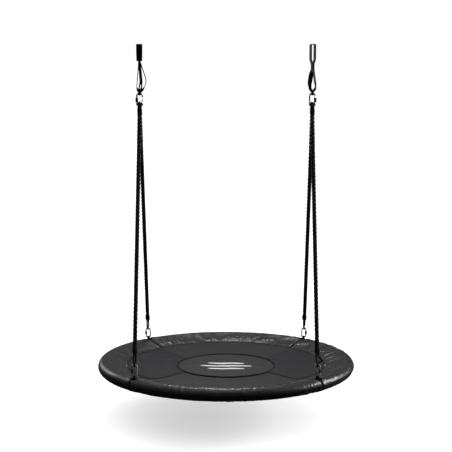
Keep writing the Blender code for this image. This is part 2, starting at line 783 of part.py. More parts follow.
# ---------------------------------------------------------------- hanging straps
STRAP_BEND = TOP_LINK["wire"] + 3.1 * MM + STRAP_WEB / 2
OUTER_STRAP_BEND = STRAP_BEND + 0.7 * MM  # the left strap's middle band, outside its other loop
INNER_LAYER_HALF = 1.62 * MM
NECK_RISE = 45.0 * MM  # above the link the webbing opens to its full width over this height
STRAND_TURN_RISE = 27.0 * MM  # and turns to its own facing over this one
BLOCK_TURN_RISE = 30.0 * MM  # below the stitching it turns to lie flat in it
EYE_TAPER = 22.0 * MM  # the upper eye closes over this height
STRAP_STEP = 7.0 * MM  # the longest step along the webbing
LAYER_HALF = 2.4 * MM  # from the stitched block's middle to each layer's middle
STITCH_LAP = 14.0 * MM  # how far each eye's ends run into the stitching

# Each strap: the stitching's top and foot, how far its upper eye and the lower eye's ends are turned, and the lower
# eye's loops. A loop holds its bend at the wire, its layers' offset in the stitching and, for its left and right strand,
# the distance off the strap's line, the height of the widest place above the wire, and how far it faces round.
STRAP_SHAPES = {
    "left": {
        "stitch": (-50.0 * MM, -71.0 * MM),
        "turn": 90.0,
        "lower_turn": 15.0,
        "loops": [
            (STRAP_BEND, LAYER_HALF, (-12.0 * MM, 24.0 * MM, 10.0), (30.0 * MM, 52.0 * MM, 10.0)),
            (OUTER_STRAP_BEND, INNER_LAYER_HALF, (4.0 * MM, 50.0 * MM, 20.0), (9.0 * MM, 50.0 * MM, 20.0)),
        ],
    },
    "right": {
        "stitch": (-84.0 * MM, -100.0 * MM),
        "turn": 20.0,
        "lower_turn": 20.0,
        "loops": [(STRAP_BEND, LAYER_HALF, (-12.0 * MM, 40.0 * MM, 46.0), (14.0 * MM, 26.0 * MM, 16.0))],
    },
}


def turned(degrees):
    """A level direction, turned from the X axis towards the Y axis."""
    angle = math.radians(degrees)
    return X_AXIS * math.cos(angle) + Y_AXIS * math.sin(angle)


def upper_eye(name, x, shape):
    """The eye that hangs on a hook or bar. Its crown is flat."""
    stitch_top = shape["stitch"][0]
    base = np.array([x, 0.0, 0.0])
    crown = STRAP_WEB / 2
    shoulder = stitch_top + EYE_TAPER
    foot = stitch_top - STITCH_LAP
    corners = [
        (-STRAP_EYE_HALF, crown),
        (STRAP_EYE_HALF, crown),
        (STRAP_EYE_HALF, shoulder),
        (LAYER_HALF, stitch_top),
        (LAYER_HALF, foot),
        (-LAYER_HALF, foot),
        (-LAYER_HALF, stitch_top),
        (-STRAP_EYE_HALF, shoulder),
    ]
    bend = 3.2 * MM
    radii = [bend, bend, 20 * MM, 12 * MM, 2 * MM, 2 * MM, 12 * MM, 20 * MM]
    loop = rounded_loop(corners, radii, [4, 4, 2, 2, 3, 3, 2, 2])
    along = turned(shape["turn"])
    return ribbon_loop(
        name,
        loop,
        lambda point: base + along * point[0] + Z_AXIS * point[1],
        lambda point: np.cross(along, Z_AXIS),
        lambda point: STRAP_WIDTH,
        STRAP_WEB,
    )


def lower_width(point):
    share = smooth_step((point[1] - TOP_WIRE_Z - STRAP_BEND) / NECK_RISE)
    return STRAP_NECK + (STRAP_WIDTH - STRAP_NECK) * share


def lower_eye(name, x, shape, bend, layer, left, right):
    """One loop round the link's wire. It lies front to back there, and its strands spread sideways above."""
    stitch_foot = shape["stitch"][1]
    base = np.array([x, 0.0, 0.0])
    low = TOP_WIRE_Z - bend
    foot = stitch_foot + STITCH_LAP * layer / LAYER_HALF
    corners = [
        (-bend, low),
        (bend, low),
        (right[0], TOP_WIRE_Z + right[1]),
        (layer, stitch_foot),
        (layer, foot),
        (-layer, foot),
        (-layer, stitch_foot),
        (left[0], TOP_WIRE_Z + left[1]),
    ]
    tight, fold = bend * 0.86, layer * 0.8
    radii = [tight, tight, 40 * MM, 15 * MM, fold, fold, 15 * MM, 40 * MM]
    loop = stepped(rounded_loop(corners, radii, [5, 5, 4, 2, 3, 3, 2, 4]), STRAP_STEP)

    def facing(height, spread_turn):
        """Front to back at the wire, this turn where the strands spread, and the ends' own turn in the stitching."""
        block_share = smooth_step((height - stitch_foot + BLOCK_TURN_RISE) / BLOCK_TURN_RISE)
        spread_turn += (shape["lower_turn"] - spread_turn) * block_share
        wire_share = smooth_step((height - TOP_WIRE_Z) / STRAND_TURN_RISE)
        return turned(90.0 + (spread_turn - 90.0) * wire_share)

    def place(point):
        return base + facing(point[1], 0.0) * point[0] + Z_AXIS * point[1]

    def width_axis(point):
        strand = left if point[0] < 0.5 * (left[0] + right[0]) else right
        return np.cross(facing(point[1], strand[2]), Z_AXIS)

    return ribbon_loop(name, loop, place, width_axis, lower_width, STRAP_WEB)


def stitched_block(name, x, shape):
    """The layers sewn together between the two eyes."""
    along = turned(shape["turn"])
    across = np.cross(along, Z_AXIS)
    inset = 2.0 * MM
    half_thick = LAYER_HALF + STRAP_WEB / 2 - 0.2 * MM
    half_wide = STRAP_WIDTH / 2 - 0.3 * MM
    rings = []
    for height in (shape["stitch"][0] - inset, shape["stitch"][1] + inset):
        centre = np.array([x, 0.0, height])
        rings.append([
            centre + across * half_wide + along * half_thick,
            centre - across * half_wide + along * half_thick,
            centre - across * half_wide - along * half_thick,
            centre + across * half_wide - along * half_thick,
        ])
    return solid_sweep(name, rings)


for side_name, side in SIDES.items():
    shape = STRAP_SHAPES[side_name]
    x = side * HANG_X
    name = "hanging_strap_" + side_name
    strap = finish_object(name, upper_eye(name, x, shape), "webbing")
    for i, (bend, layer, left, right) in enumerate(shape["loops"]):
        loop_name = f"lower_eye_{side_name}_{i}"
        boolean(strap, helper(loop_name, lower_eye(loop_name, x, shape, bend, layer, left, right)), "UNION")
    block = helper("stitching_" + side_name, stitched_block("stitching_" + side_name, x, shape))
    boolean(strap, block, "UNION")

# ---------------------------------------------------------------- origins and shading
# A moving piece has its origin on its joint's axis, and every round piece is shaded smooth.
SEAT_MIDDLE = np.array([0.0, 0.0, RIM_Z])
origins = {}
for side_name, side in SIDES.items():
    origins["top_link_" + side_name] = np.array([side * HANG_X, 0.0, TOP_WIRE_Z])
    origins["top_link_nut_" + side_name] = np.array([side * (HANG_X + TOP_LINK["bow"]), 0.0, BIGHT_Z])
    bow_centre = np.array([side * HANG_X, 0.0, BIGHT_Z + TOP_LINK["bow"]])
    origins["rope_" + side_name] = bow_centre
    origins["rope_seizing_" + side_name] = bow_centre
    origins["hanging_strap_" + side_name] = np.array([side * HANG_X, 0.0, 0.0])
for corner, (side, rear) in CORNERS.items():
    origins["seat_link_nut_" + corner] = corner_foot[corner] + X_AXIS * side * SEAT_LINK["bow"]
    origins["seat_link_" + corner] = corner_foot[corner]
    origins["eye_whipping_" + corner] = corner_foot[corner]

FLAT_PIECES = ("hanging_strap_", "rim_tab_", "side_panel_", "seat_mat", "centre_panel")
for obj in parts.objects:
    origin = origins.get(obj.name, SEAT_MIDDLE)
    obj.data.transform(Matrix.Translation(-Vector(origin)))
    obj.location = origin
    if not obj.name.startswith(FLAT_PIECES):
        obj.data.shade_smooth()
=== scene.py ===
"""The looks of the saucer swing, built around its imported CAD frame.

Metres, +Z up. Each soft piece, rope, strap, link and tube is modelled again in detail where its CAD node
is, and rides on the same body. The hidden couplers and screws keep their CAD shapes and get materials.
"""

import json
import math

import bpy
import numpy as np
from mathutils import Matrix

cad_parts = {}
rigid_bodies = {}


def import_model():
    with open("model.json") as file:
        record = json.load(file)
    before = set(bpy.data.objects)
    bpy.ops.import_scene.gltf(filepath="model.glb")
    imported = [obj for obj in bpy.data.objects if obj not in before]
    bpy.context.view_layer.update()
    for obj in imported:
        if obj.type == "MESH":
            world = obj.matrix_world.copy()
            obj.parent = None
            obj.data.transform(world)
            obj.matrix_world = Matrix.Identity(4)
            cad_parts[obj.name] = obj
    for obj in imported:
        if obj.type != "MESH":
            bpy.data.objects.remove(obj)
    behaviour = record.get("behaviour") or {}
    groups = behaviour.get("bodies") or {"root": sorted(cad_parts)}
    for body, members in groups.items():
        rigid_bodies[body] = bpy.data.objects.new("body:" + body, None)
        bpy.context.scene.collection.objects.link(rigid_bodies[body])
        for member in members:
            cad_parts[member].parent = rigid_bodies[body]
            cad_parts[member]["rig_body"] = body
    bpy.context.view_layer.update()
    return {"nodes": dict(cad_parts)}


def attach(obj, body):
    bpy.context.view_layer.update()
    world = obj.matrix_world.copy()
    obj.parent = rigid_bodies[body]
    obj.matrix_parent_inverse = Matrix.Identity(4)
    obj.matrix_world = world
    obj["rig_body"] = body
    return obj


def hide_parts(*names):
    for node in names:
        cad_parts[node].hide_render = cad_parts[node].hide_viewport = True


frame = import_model()

# ------------------------------------------------ the part's sizes, as its CAD source has them
MM = 0.001
GAP = 0.4 * MM
HANG_X = 0.3634
RIM_Z = -1.3585
TUBE_RING_R = 0.5235
TUBE_R = 13.0 * MM
FOAM_BORE_R = 15.5 * MM
FOAM_R = 24.5 * MM
SLEEVE_R = 26.5 * MM
SEAM_R = 0.428
SEAM_DROP = 3.0 * MM
SEAM_HALF = 2.0 * MM
RING_STEP = math.tau / 48
RING_MEAN = 0.9990  # the CAD ring is a polygon, and this circle lies along the middle of its sides
TAB_FOAM_GAP = 13.0 * MM
TAB_SLEEVE_GAP = 4.0 * MM
NOTCH_R = 17.0 * MM
MAT_THICK = 1.6 * MM
MAT_SAG = 14.0 * MM
MAT_R = 0.4276
PANEL_THICK = 1.2 * MM
PANEL_LIFT = 0.7 * MM
PANEL_EDGE = 0.2063
PIPING_RING_R = 0.2093
PIPING_R = 2.6 * MM
PANEL_INNER_R = 0.2123
PANEL_OUTER_R = 0.420
PANEL_CORNER_ANGLE = math.radians(42.0)
PANEL_INNER_ANGLE = math.radians(36.0)
ROPE_R = 8.0 * MM
ROPE_FULL_R = 9.6 * MM  # over the crowns of the strands
EYE_CORD_R = 4.0 * MM
LEG_HALF_GAP = 9.0 * MM
TOP_LINK = {"wire": 3.5 * MM, "bow": 12.0 * MM, "length": 54.4 * MM}
TOP_NUT = {"low": 17.6 * MM, "long": 18.0 * MM, "flats": 11.0 * MM}
SEAT_LINK = {"wire": 3.0 * MM, "bow": 9.5 * MM, "length": 51.0 * MM}
SEAT_NUT = {"low": 17.0 * MM, "long": 14.0 * MM, "flats": 10.0 * MM}
LINK_GAP = 7.0 * MM
BIGHT_Z = -0.2571
TOP_WIRE_Z = BIGHT_Z + TOP_LINK["length"]
SEAT_WIRE_Z = RIM_Z + 31.5 * MM
TAB_SIDE = 6.5 * RING_STEP
TAB_Y = (TUBE_RING_R * math.cos(RING_STEP / 2) - HANG_X * math.cos(TAB_SIDE)) / math.sin(TAB_SIDE)
TAB_WEB = 2.0 * MM
TAB_WIDTH = 20.0 * MM
TAB_NECK = 9.4 * MM
STRAP_WEB = 2.2 * MM
STRAP_WIDTH = 25.0 * MM
STRAP_NECK = 11.4 * MM
STRAP_EYE_HALF = 9.5 * MM
SEIZING_TOP = BIGHT_Z - 8.0 * MM
SEIZING_LONG = 26.0 * MM
LEG_TOP_Z = SEIZING_TOP - SEIZING_LONG - 4.0 * MM

SIDES = {"left": -1, "right": 1}
CORNERS = {
    "front_left": (-1, -1),
    "front_right": (1, -1),
    "rear_left": (-1, 1),
    "rear_right": (1, 1),
}
X_AXIS = np.array([1.0, 0.0, 0.0])
Y_AXIS = np.array([0.0, 1.0, 0.0])
Z_AXIS = np.array([0.0, 0.0, 1.0])


# ---------------------------------------------------------------- paths and meshes
def unit(vector):
    return vector / np.linalg.norm(vector)


def smooth_step(value):
    value = np.clip(value, 0.0, 1.0)
    return value * value * (3.0 - 2.0 * value)


def resampled(points, step, closed=False):
    """The same path with points this far apart."""
    points = np.array(points, float)
    if closed:
        points = np.vstack([points, points[:1]])
    along = np.concatenate([[0.0], np.cumsum(np.linalg.norm(np.diff(points, axis=0), axis=1))])
    count = max(8, int(round(along[-1] / step)))
    wanted = np.linspace(0.0, along[-1], count + 1)
    found = np.column_stack([np.interp(wanted, along, points[:, k]) for k in range(3)])
    return found[:-1] if closed else found


def softened(points, passes, closed=False):
    """The path with its corners eased. Each pass moves a point halfway to the middle of its neighbours."""
    points = points.copy()
    for _ in range(passes):
        if closed:
            middles = (np.roll(points, 1, axis=0) + np.roll(points, -1, axis=0)) / 2
            points = (points + middles) / 2
        else:
            middles = (points[:-2] + points[2:]) / 2
            points[1:-1] = (points[1:-1] + middles) / 2
    return points


def tangents_of(points, closed):
    if closed:
        steps = np.roll(points, -1, axis=0) - np.roll(points, 1, axis=0)
    else:
        steps = np.gradient(points, axis=0)
    return steps / np.linalg.norm(steps, axis=1)[:, None]


def carried_normals(points, first, closed=False):
    """Directions across a path that start near first and never twist about it."""
    along = tangents_of(points, closed)
    normal = unit(first - along[0] * np.dot(first, along[0]))
    normals = [normal]
    for here in along[1:]:
        normal = unit(normal - here * np.dot(normal, here))
        normals.append(normal)
    return np.array(normals), along


def tube_grid(points, radii, sides, normals, along):
    """Circles of these radii along a path, as rows of a grid."""
    across = np.cross(along, normals)
    turns = math.tau * np.arange(sides) / sides
    radii = np.broadcast_to(radii, len(points))[:, None, None]
    spokes = np.cos(turns)[None, :, None] * normals[:, None, :]
    spokes = spokes + np.sin(turns)[None, :, None] * across[:, None, :]
    return points[:, None, :] + radii * spokes


class Shape:
    """A mesh put together from grids of points, with a UV map in metres."""

    def __init__(self):
        self.points = []
        self.faces = []
        self.uvs = []
        self.slots = []
        self.count = 0

    def add(self, grid, slot=0, wrap_rows=False, wrap_columns=True, capped=False, flip=False):
        """Adds a grid's quads. wrap_columns closes each row, and wrap_rows joins the last row to the first."""
        rows, columns = grid.shape[:2]
        base = self.count
        self.points.append(grid.reshape(-1, 3))
        self.count += rows * columns
        down = np.linalg.norm(np.diff(grid, axis=0), axis=2).mean(axis=1)
        along = np.concatenate([[0.0], np.cumsum(down), [np.sum(down) + (down[-1] if len(down) else 0.0)]])
        wide = np.linalg.norm(np.diff(grid, axis=1), axis=2).mean(axis=0)
        across = np.concatenate([[0.0], np.cumsum(wide), [np.sum(wide) + (wide[-1] if len(wide) else 0.0)]])
        for i in range(rows if wrap_rows else rows - 1):
            for j in range(columns if wrap_columns else columns - 1):
                corners = ((i, j), (i, j + 1), (i + 1, j + 1), (i + 1, j))
                if flip:
                    corners = corners[::-1]
                self.faces.append(tuple(base + r % rows * columns + c % columns for r, c in corners))
                self.uvs.extend((along[r], across[c]) for r, c in corners)
                self.slots.append(slot)
        if capped:
            first = [base + j for j in range(columns)]
            last = [base + (rows - 1) * columns + j for j in range(columns)]
            for ring, turned_over in ((first, not flip), (last, flip)):
                ring = ring[::-1] if turned_over else ring
                self.faces.append(tuple(ring))
                self.uvs.extend((0.0, across[-1] * k / columns) for k in range(columns))
                self.slots.append(slot)

    def make(self, name, materials, smooth=True):
        mesh = bpy.data.meshes.new(name)
        mesh.from_pydata(np.concatenate(self.points).tolist(), [], self.faces)
        layer = mesh.uv_layers.new(name="cloth")
        layer.data.foreach_set("uv", np.array(self.uvs, np.float32).ravel())
        for material in materials:
            mesh.materials.append(material)
        mesh.polygons.foreach_set("material_index", self.slots)
        mesh.polygons.foreach_set("use_smooth", [smooth] * len(self.faces))
        mesh.update()
        obj = bpy.data.objects.new(name, mesh)
        bpy.context.scene.collection.objects.link(obj)
        return obj


def grid_object(name, grid, material, **how):
    shape = Shape()
    shape.add(grid, **how)
    return shape.make(name, [material])


def stand_for(obj, slot, *nodes):
    """obj takes these CAD nodes' place, and rides on their body. slot is not used."""
    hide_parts(*nodes)
    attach(obj, frame["nodes"][nodes[0]]["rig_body"])
    return obj


def go_with(obj, node):
    """obj is a detail that rides on this CAD node's body."""
    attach(obj, frame["nodes"][node]["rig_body"])
    return obj


def add_stitches(shape, points, ups, slot=0, pitch=6.5 * MM, share=0.68, radius=0.55 * MM, closed=False):
    """Short raised threads along a line on a surface. ups are the surface's directions there."""
    line = resampled(points, pitch / 6, closed)
    if closed:
        line = np.vstack([line, line[:1]])
    tree = np.array(points, float)
    length = len(line)
    for start in range(0, length - 6, 6):
        piece = line[start : start + 1 + int(round(6 * share))]
        if len(piece) < 3:
            continue
        nearest = int(np.argmin(np.linalg.norm(tree - piece[len(piece) // 2], axis=1)))
        up = np.array(ups[nearest] if len(np.shape(ups)) > 1 else ups, float)
        rise = np.sin(np.linspace(0.0, math.pi, len(piece)))[:, None] * up * 0.5 * radius
        normals, along = carried_normals(piece, up)
        radii = radius * np.clip(np.sin(np.linspace(0.12, math.pi - 0.12, len(piece))) * 1.6, 0.3, 1.0)
        shape.add(tube_grid(piece + rise, radii, 5, normals, along), slot=slot, capped=True)


def lattice_noise(x, y, seed):
    """Smooth noise from about -1 to 1, one wave to a unit of x and y."""
    rng = np.random.RandomState(seed)
    order = rng.permutation(256)
    bearings = rng.rand(256) * math.tau
    x0, y0 = np.floor(x).astype(int), np.floor(y).astype(int)
    fx, fy = x - x0, y - y0

    def corner(dx, dy):
        index = order[(order[(x0 + dx) % 256] + y0 + dy) % 256]
        return np.cos(bearings[index]) * (fx - dx) + np.sin(bearings[index]) * (fy - dy)

    sx, sy = fx**3 * (fx * (fx * 6 - 15) + 10), fy**3 * (fy * (fy * 6 - 15) + 10)
    low = corner(0, 0) * (1 - sx) + corner(1, 0) * sx
    high = corner(0, 1) * (1 - sx) + corner(1, 1) * sx
    return (low * (1 - sy) + high * sy) * 1.5


def creases(x, y, seed):
    """Thin ridges, 1 on a crease's line and falling away on both sides."""
    return (1.0 - np.clip(np.abs(lattice_noise(x, y, seed)) * 2.2, 0.0, 1.0)) ** 2


# ---------------------------------------------------------------- materials
def new_material(name, color, rough, **sockets):
    material = bpy.data.materials.new(name)
    material.use_nodes = True
    shader = material.node_tree.nodes["Principled BSDF"]
    shader.inputs["Base Color"].default_value = (*color, 1.0)
    shader.inputs["Roughness"].default_value = rough
    for socket, value in sockets.items():
        shader.inputs[socket.replace("_", " ")].default_value = value
    return material


def add_node(material, kind, values=(), **inputs):
    """A node with these properties and input values or links."""
    node = material.node_tree.nodes.new(kind)
    for key, value in values:
        setattr(node, key, value)
    for key, value in inputs.items():
        socket = node.inputs[int(key[1:])] if key[1:].isdigit() else node.inputs[key.replace("_", " ")]
        if isinstance(value, bpy.types.NodeSocket):
            material.node_tree.links.new(value, socket)
        else:
            socket.default_value = value
    return node


def math_node(material, operation, *values):
    node = add_node(material, "ShaderNodeMath", [("operation", operation)])
    for socket, value in zip(node.inputs, values):
        if isinstance(value, bpy.types.NodeSocket):
            material.node_tree.links.new(value, socket)
        else:
            socket.default_value = value
    return node.outputs[0]


def weighted_sum(material, *terms):
    """The sum of these (output, weight) pairs."""
    total, *others = [math_node(material, "MULTIPLY", output, weight) for output, weight in terms]
    for other in others:
        total = math_node(material, "ADD", total, other)
    return total


def to_shader(material, socket, output):
    shader = material.node_tree.nodes["Principled BSDF"]
    material.node_tree.links.new(output, shader.inputs[socket])


def mixed_colors(material, low, high, share):
    node = add_node(material, "ShaderNodeMix", [("data_type", "RGBA")])
    node.inputs[6].default_value = (*low, 1.0)
    node.inputs[7].default_value = (*high, 1.0)
    material.node_tree.links.new(share, node.inputs[0])
    return node.outputs[2]


def noise_output(material, scale, detail, vector=None):
    node = add_node(material, "ShaderNodeTexNoise", Scale=scale, Detail=detail)
    if vector is None:
        vector = add_node(material, "ShaderNodeTexCoord").outputs["Object"]
    material.node_tree.links.new(vector, node.inputs["Vector"])
    return node.outputs[0]


def bump_from(material, height, strength, distance, before=None):
    node = add_node(material, "ShaderNodeBump", Strength=strength, Distance=distance, Height=height)
    if before is not None:
        material.node_tree.links.new(before, node.inputs["Normal"])
    return node.outputs[0]


WAVE_TURN = 0.314159  # a Wave texture of this scale has one wave to the metre


def thread_wave(material, direction, pitch, vector, distortion=0.0):
    node = add_node(
        material,
        "ShaderNodeTexWave",
        [("wave_type", "BANDS"), ("bands_direction", direction)],
        Scale=WAVE_TURN / pitch,
        Distortion=distortion,
        Vector=vector,
    )
    return node.outputs["Fac"]


def woven(name, dark, light, rough, pitch, strength, flat=False, spots=9.0, **sockets):
    """Cloth: crossing threads and cloudy shading. flat lays the threads along X and Y, and not the UV map."""
    material = new_material(name, light, rough, **sockets)
    coords = add_node(material, "ShaderNodeTexCoord")
    vector = coords.outputs["Object" if flat else "UV"]
    warp = thread_wave(material, "X", pitch, vector)
    weft = thread_wave(material, "Y", pitch, vector)
    weave = math_node(material, "MAXIMUM", warp, weft)
    clouds = noise_output(material, spots, 5.0, coords.outputs["Object"])
    fine = noise_output(material, 260.0, 3.0, coords.outputs["Object"])
    shade = weighted_sum(material, (weave, 0.35), (clouds, 0.75), (fine, 0.18))
    to_shader(material, "Base Color", mixed_colors(material, dark, light, shade))
    rougher = math_node(material, "MULTIPLY_ADD", clouds, 0.22, rough - 0.11)
    to_shader(material, "Roughness", rougher)
    normal = bump_from(material, weave, strength, 0.25 * MM)
    normal = bump_from(material, fine, 0.3 * strength, 0.6 * MM, normal)
    to_shader(material, "Normal", normal)
    return material


def webbing(name, dark, light, rough):
    """Strap webbing: fine ribs along it crossed by a slanting twill, and a firmer selvedge."""
    material = new_material(name, light, rough, Specular_IOR_Level=0.12)
    coords = add_node(material, "ShaderNodeTexCoord")
    uv = coords.outputs["UV"]
    ribs = thread_wave(material, "Y", 1.3 * MM, uv)
    twill = thread_wave(material, "DIAGONAL", 2.6 * MM, uv, 0.3)
    height = math_node(material, "MULTIPLY", ribs, twill)
    fine = noise_output(material, 420.0, 3.0, coords.outputs["Object"])
    shade = weighted_sum(material, (height, 0.6), (fine, 0.5))
    to_shader(material, "Base Color", mixed_colors(material, dark, light, shade))
    normal = bump_from(material, height, 0.55, 0.35 * MM)
    to_shader(material, "Normal", normal)
    return material


def twisted(name, dark, light, rough, pitch, sheen):
    """Rope strand: yarns that slant round each strand, with loose fibres."""
    material = new_material(
        name, light, rough, Specular_IOR_Level=0.15, Sheen_Weight=sheen, Sheen_Roughness=0.4
    )
    coords = add_node(material, "ShaderNodeTexCoord")
    yarns = thread_wave(material, "DIAGONAL", pitch, coords.outputs["UV"], 0.6)
    fine = noise_output(material, 520.0, 4.0, coords.outputs["Object"])
    long_noise = noise_output(material, 14.0, 3.0, coords.outputs["Object"])
    shade = weighted_sum(material, (yarns, 0.45), (fine, 0.35), (long_noise, 0.3))
    to_shader(material, "Base Color", mixed_colors(material, dark, light, shade))
    normal = bump_from(material, yarns, 0.5, 0.4 * MM)
    normal = bump_from(material, fine, 0.25, 0.5 * MM, normal)
    to_shader(material, "Normal", normal)
    return material


def metal(name, dark, light, rough, scratch):
    """Plated steel: cloudy roughness, fine scratches and small dull spots."""
    material = new_material(name, light, rough, Metallic=1.0)
    coords = add_node(material, "ShaderNodeTexCoord")
    clouds = noise_output(material, 90.0, 4.0, coords.outputs["Object"])
    fine = noise_output(material, 900.0, 2.0, coords.outputs["Object"])
    to_shader(material, "Base Color", mixed_colors(material, dark, light, clouds))
    to_shader(material, "Roughness", math_node(material, "MULTIPLY_ADD", clouds, 0.25, rough - 0.1))
    to_shader(material, "Normal", bump_from(material, fine, scratch, 0.1 * MM))
    return material


def spotted(name, dark, light, rough, scale, strength, depth, **sockets):
    """A plain moulded or foamed surface with fine grain."""
    material = new_material(name, light, rough, **sockets)
    coords = add_node(material, "ShaderNodeTexCoord")
    grain = noise_output(material, scale, 4.0, coords.outputs["Object"])
    to_shader(material, "Base Color", mixed_colors(material, dark, light, grain))
    to_shader(material, "Normal", bump_from(material, grain, strength, depth))
    return material


RIM_CLOTH = woven(
    "rim_cloth", (0.0025, 0.0025, 0.003), (0.0110, 0.0113, 0.0130), 0.36, 1.1 * MM, 0.25,
    Specular_IOR_Level=0.42, Sheen_Weight=0.03, Sheen_Roughness=0.35,
)
SEAT_CLOTH = woven(
    "seat_cloth", (0.006, 0.0062, 0.007), (0.016, 0.0165, 0.019), 0.62, 1.3 * MM, 0.30,
    flat=True, spots=5.0, Specular_IOR_Level=0.25,
)
SIDE_CLOTH = woven(
    "side_cloth", (0.0045, 0.0048, 0.006), (0.011, 0.0115, 0.0145), 0.62, 1.3 * MM, 0.30,
    flat=True, spots=5.0, Specular_IOR_Level=0.22,
)
CENTRE_CLOTH = woven(
    "centre_cloth", (0.009, 0.0092, 0.0102), (0.019, 0.0195, 0.0215), 0.62, 1.1 * MM, 0.25,
    flat=True, spots=6.0, Specular_IOR_Level=0.28,
)
EDGE_TAPE = spotted(
    "edge_tape", (0.003, 0.003, 0.004), (0.009, 0.009, 0.010), 0.8, 700.0, 0.4, 0.4 * MM,
    Specular_IOR_Level=0.2,
)
THREAD = spotted("sewing_thread", (0.006, 0.006, 0.007), (0.020, 0.020, 0.022), 0.6, 1500.0, 0.3, 0.1 * MM)
ROPE = twisted("laid_rope", (0.0008, 0.0008, 0.0008), (0.0075, 0.0075, 0.0075), 0.6, 2.2 * MM, 0.02)
TWINE = twisted("whipping_twine", (0.0006, 0.0006, 0.0006), (0.004, 0.004, 0.004), 0.6, 0.9 * MM, 0.01)
WEBBING = webbing("strap_webbing", (0.0008, 0.0008, 0.0008), (0.005, 0.005, 0.0052), 0.75)
BRIGHT_STEEL = metal("bright_steel", (0.62, 0.62, 0.63), (0.88, 0.88, 0.89), 0.30, 0.10)
# A darker copy of the bright steel for the seat links: painted shade that keeps them dim down at the rim.
SHADED_STEEL = metal("steel_painted_shade", (0.10, 0.10, 0.105), (0.34, 0.34, 0.35), 0.38, 0.2)
DARK_STEEL = metal("dark_steel", (0.02, 0.02, 0.021), (0.07, 0.07, 0.075), 0.34, 0.2)
TUBE_STEEL = metal("tube_steel", (0.35, 0.36, 0.37), (0.55, 0.56, 0.57), 0.35, 0.25)
FOAM = spotted(
    "grey_foam", (0.010, 0.010, 0.010), (0.035, 0.035, 0.036), 0.95, 900.0, 0.8, 0.6 * MM,
    Specular_IOR_Level=0.15,
)
PRINT = spotted("white_print", (0.70, 0.70, 0.70), (0.90, 0.90, 0.90), 0.5, 600.0, 0.15, 0.1 * MM)


# ---------------------------------------------------------------- camera, stage and light
CAMERA_BACK = 4.4192
CAMERA_UP = 1.0653  # above the rim's mid-plane
CAMERA_PITCH = math.radians(6.083)
FOCAL = 83.02

camera_data = bpy.data.cameras.new("camera")
camera_data.lens = FOCAL
camera_data.sensor_width = 36.0
camera = bpy.data.objects.new("camera", camera_data)
camera.location = (0.0, -CAMERA_BACK, RIM_Z + CAMERA_UP)
camera.rotation_euler = (math.pi / 2 - CAMERA_PITCH, 0.0, 0.0)
bpy.context.scene.collection.objects.link(camera)
bpy.context.scene.camera = camera
bpy.context.scene.view_settings.view_transform = "Standard"

FLOOR_Z = RIM_Z - 0.225
STAGE_R = 45.0
FLOOR_SUNS = 6
FLOOR_SUN_HEIGHT = 42.0  # degrees
FLOOR_SUN_POWER = 0.70
FLOOR_SUN_SPREAD = 50.0  # degrees


def seen_by_camera_only(obj):
    """The stage's white light doesn't fall on the part."""
    obj.visible_diffuse = False
    obj.visible_glossy = False
    obj.visible_transmission = False
    obj.visible_shadow = False


def glowing(name, color, glow):
    grey = (color, color, color)
    material = new_material(name, grey, 1.0, Specular_IOR_Level=0.0, Emission_Strength=glow)
    shader = material.node_tree.nodes["Principled BSDF"]
    shader.inputs["Emission Color"].default_value = (1.0, 1.0, 1.0, 1.0)
    return material


def make_stage():
    """A pale floor that glows a little, so that the shadow stays faint, and a white dome behind."""
    turns = math.tau * np.arange(96) / 96
    rings = [(radius, FLOOR_Z) for radius in (0.001, 4.0, STAGE_R)]
    rises = np.linspace(0.0, math.pi / 2, 13)
    dome = [(STAGE_R * math.cos(t), FLOOR_Z - 0.01 + STAGE_R * math.sin(t)) for t in rises]
    dome[-1] = (0.001, dome[-1][1])
    for name, outline, material in (
        ("floor", rings, glowing("floor", 0.55, 0.56)),
        ("backdrop", dome, glowing("backdrop", 0.0, 1.03)),
    ):
        grid = np.array([
            [[radius * math.cos(turn), radius * math.sin(turn), height] for turn in turns]
            for radius, height in outline
        ])
        seen_by_camera_only(grid_object(name, grid, material))


def make_world():
    """Soft light from above that fades towards the horizon, and none from below."""
    world = bpy.data.worlds.new("studio")
    bpy.context.scene.world = world
    world.use_nodes = True
    tree = world.node_tree
    coords = tree.nodes.new("ShaderNodeTexCoord")
    parts = tree.nodes.new("ShaderNodeSeparateXYZ")
    ramp = tree.nodes.new("ShaderNodeMapRange")
    for key, value in (("From Min", -0.05), ("From Max", 0.45), ("To Min", 0.02), ("To Max", 0.22)):
        ramp.inputs[key].default_value = value
    tree.links.new(coords.outputs["Generated"], parts.inputs[0])
    tree.links.new(parts.outputs["Z"], ramp.inputs["Value"])
    tree.links.new(ramp.outputs[0], tree.nodes["Background"].inputs["Strength"])
    tree.nodes["Background"].inputs["Color"].default_value = (1.0, 1.0, 1.0, 1.0)


def aimed(name, data, place, target):
    light = bpy.data.objects.new(name, data)
    light.location = place
    aim = unit(np.array(target) - np.array(place))
    light.rotation_euler = (math.acos(-aim[2]), 0.0, math.atan2(aim[1], aim[0]) - math.pi / 2)
    light.visible_camera = False
    bpy.context.scene.collection.objects.link(light)
    return light


def area_light(name, place, target, size, power):
    data = bpy.data.lights.new(name, "AREA")
    data.shape = "DISK"
    data.size = size
    data.energy = power
    aimed(name, data, place, target)


def sun_light(name, place, strength, spread):
    data = bpy.data.lights.new(name, "SUN")
    data.energy = strength
    data.angle = math.radians(spread)
    return aimed(name, data, place, (0.0, 0.0, 0.0))


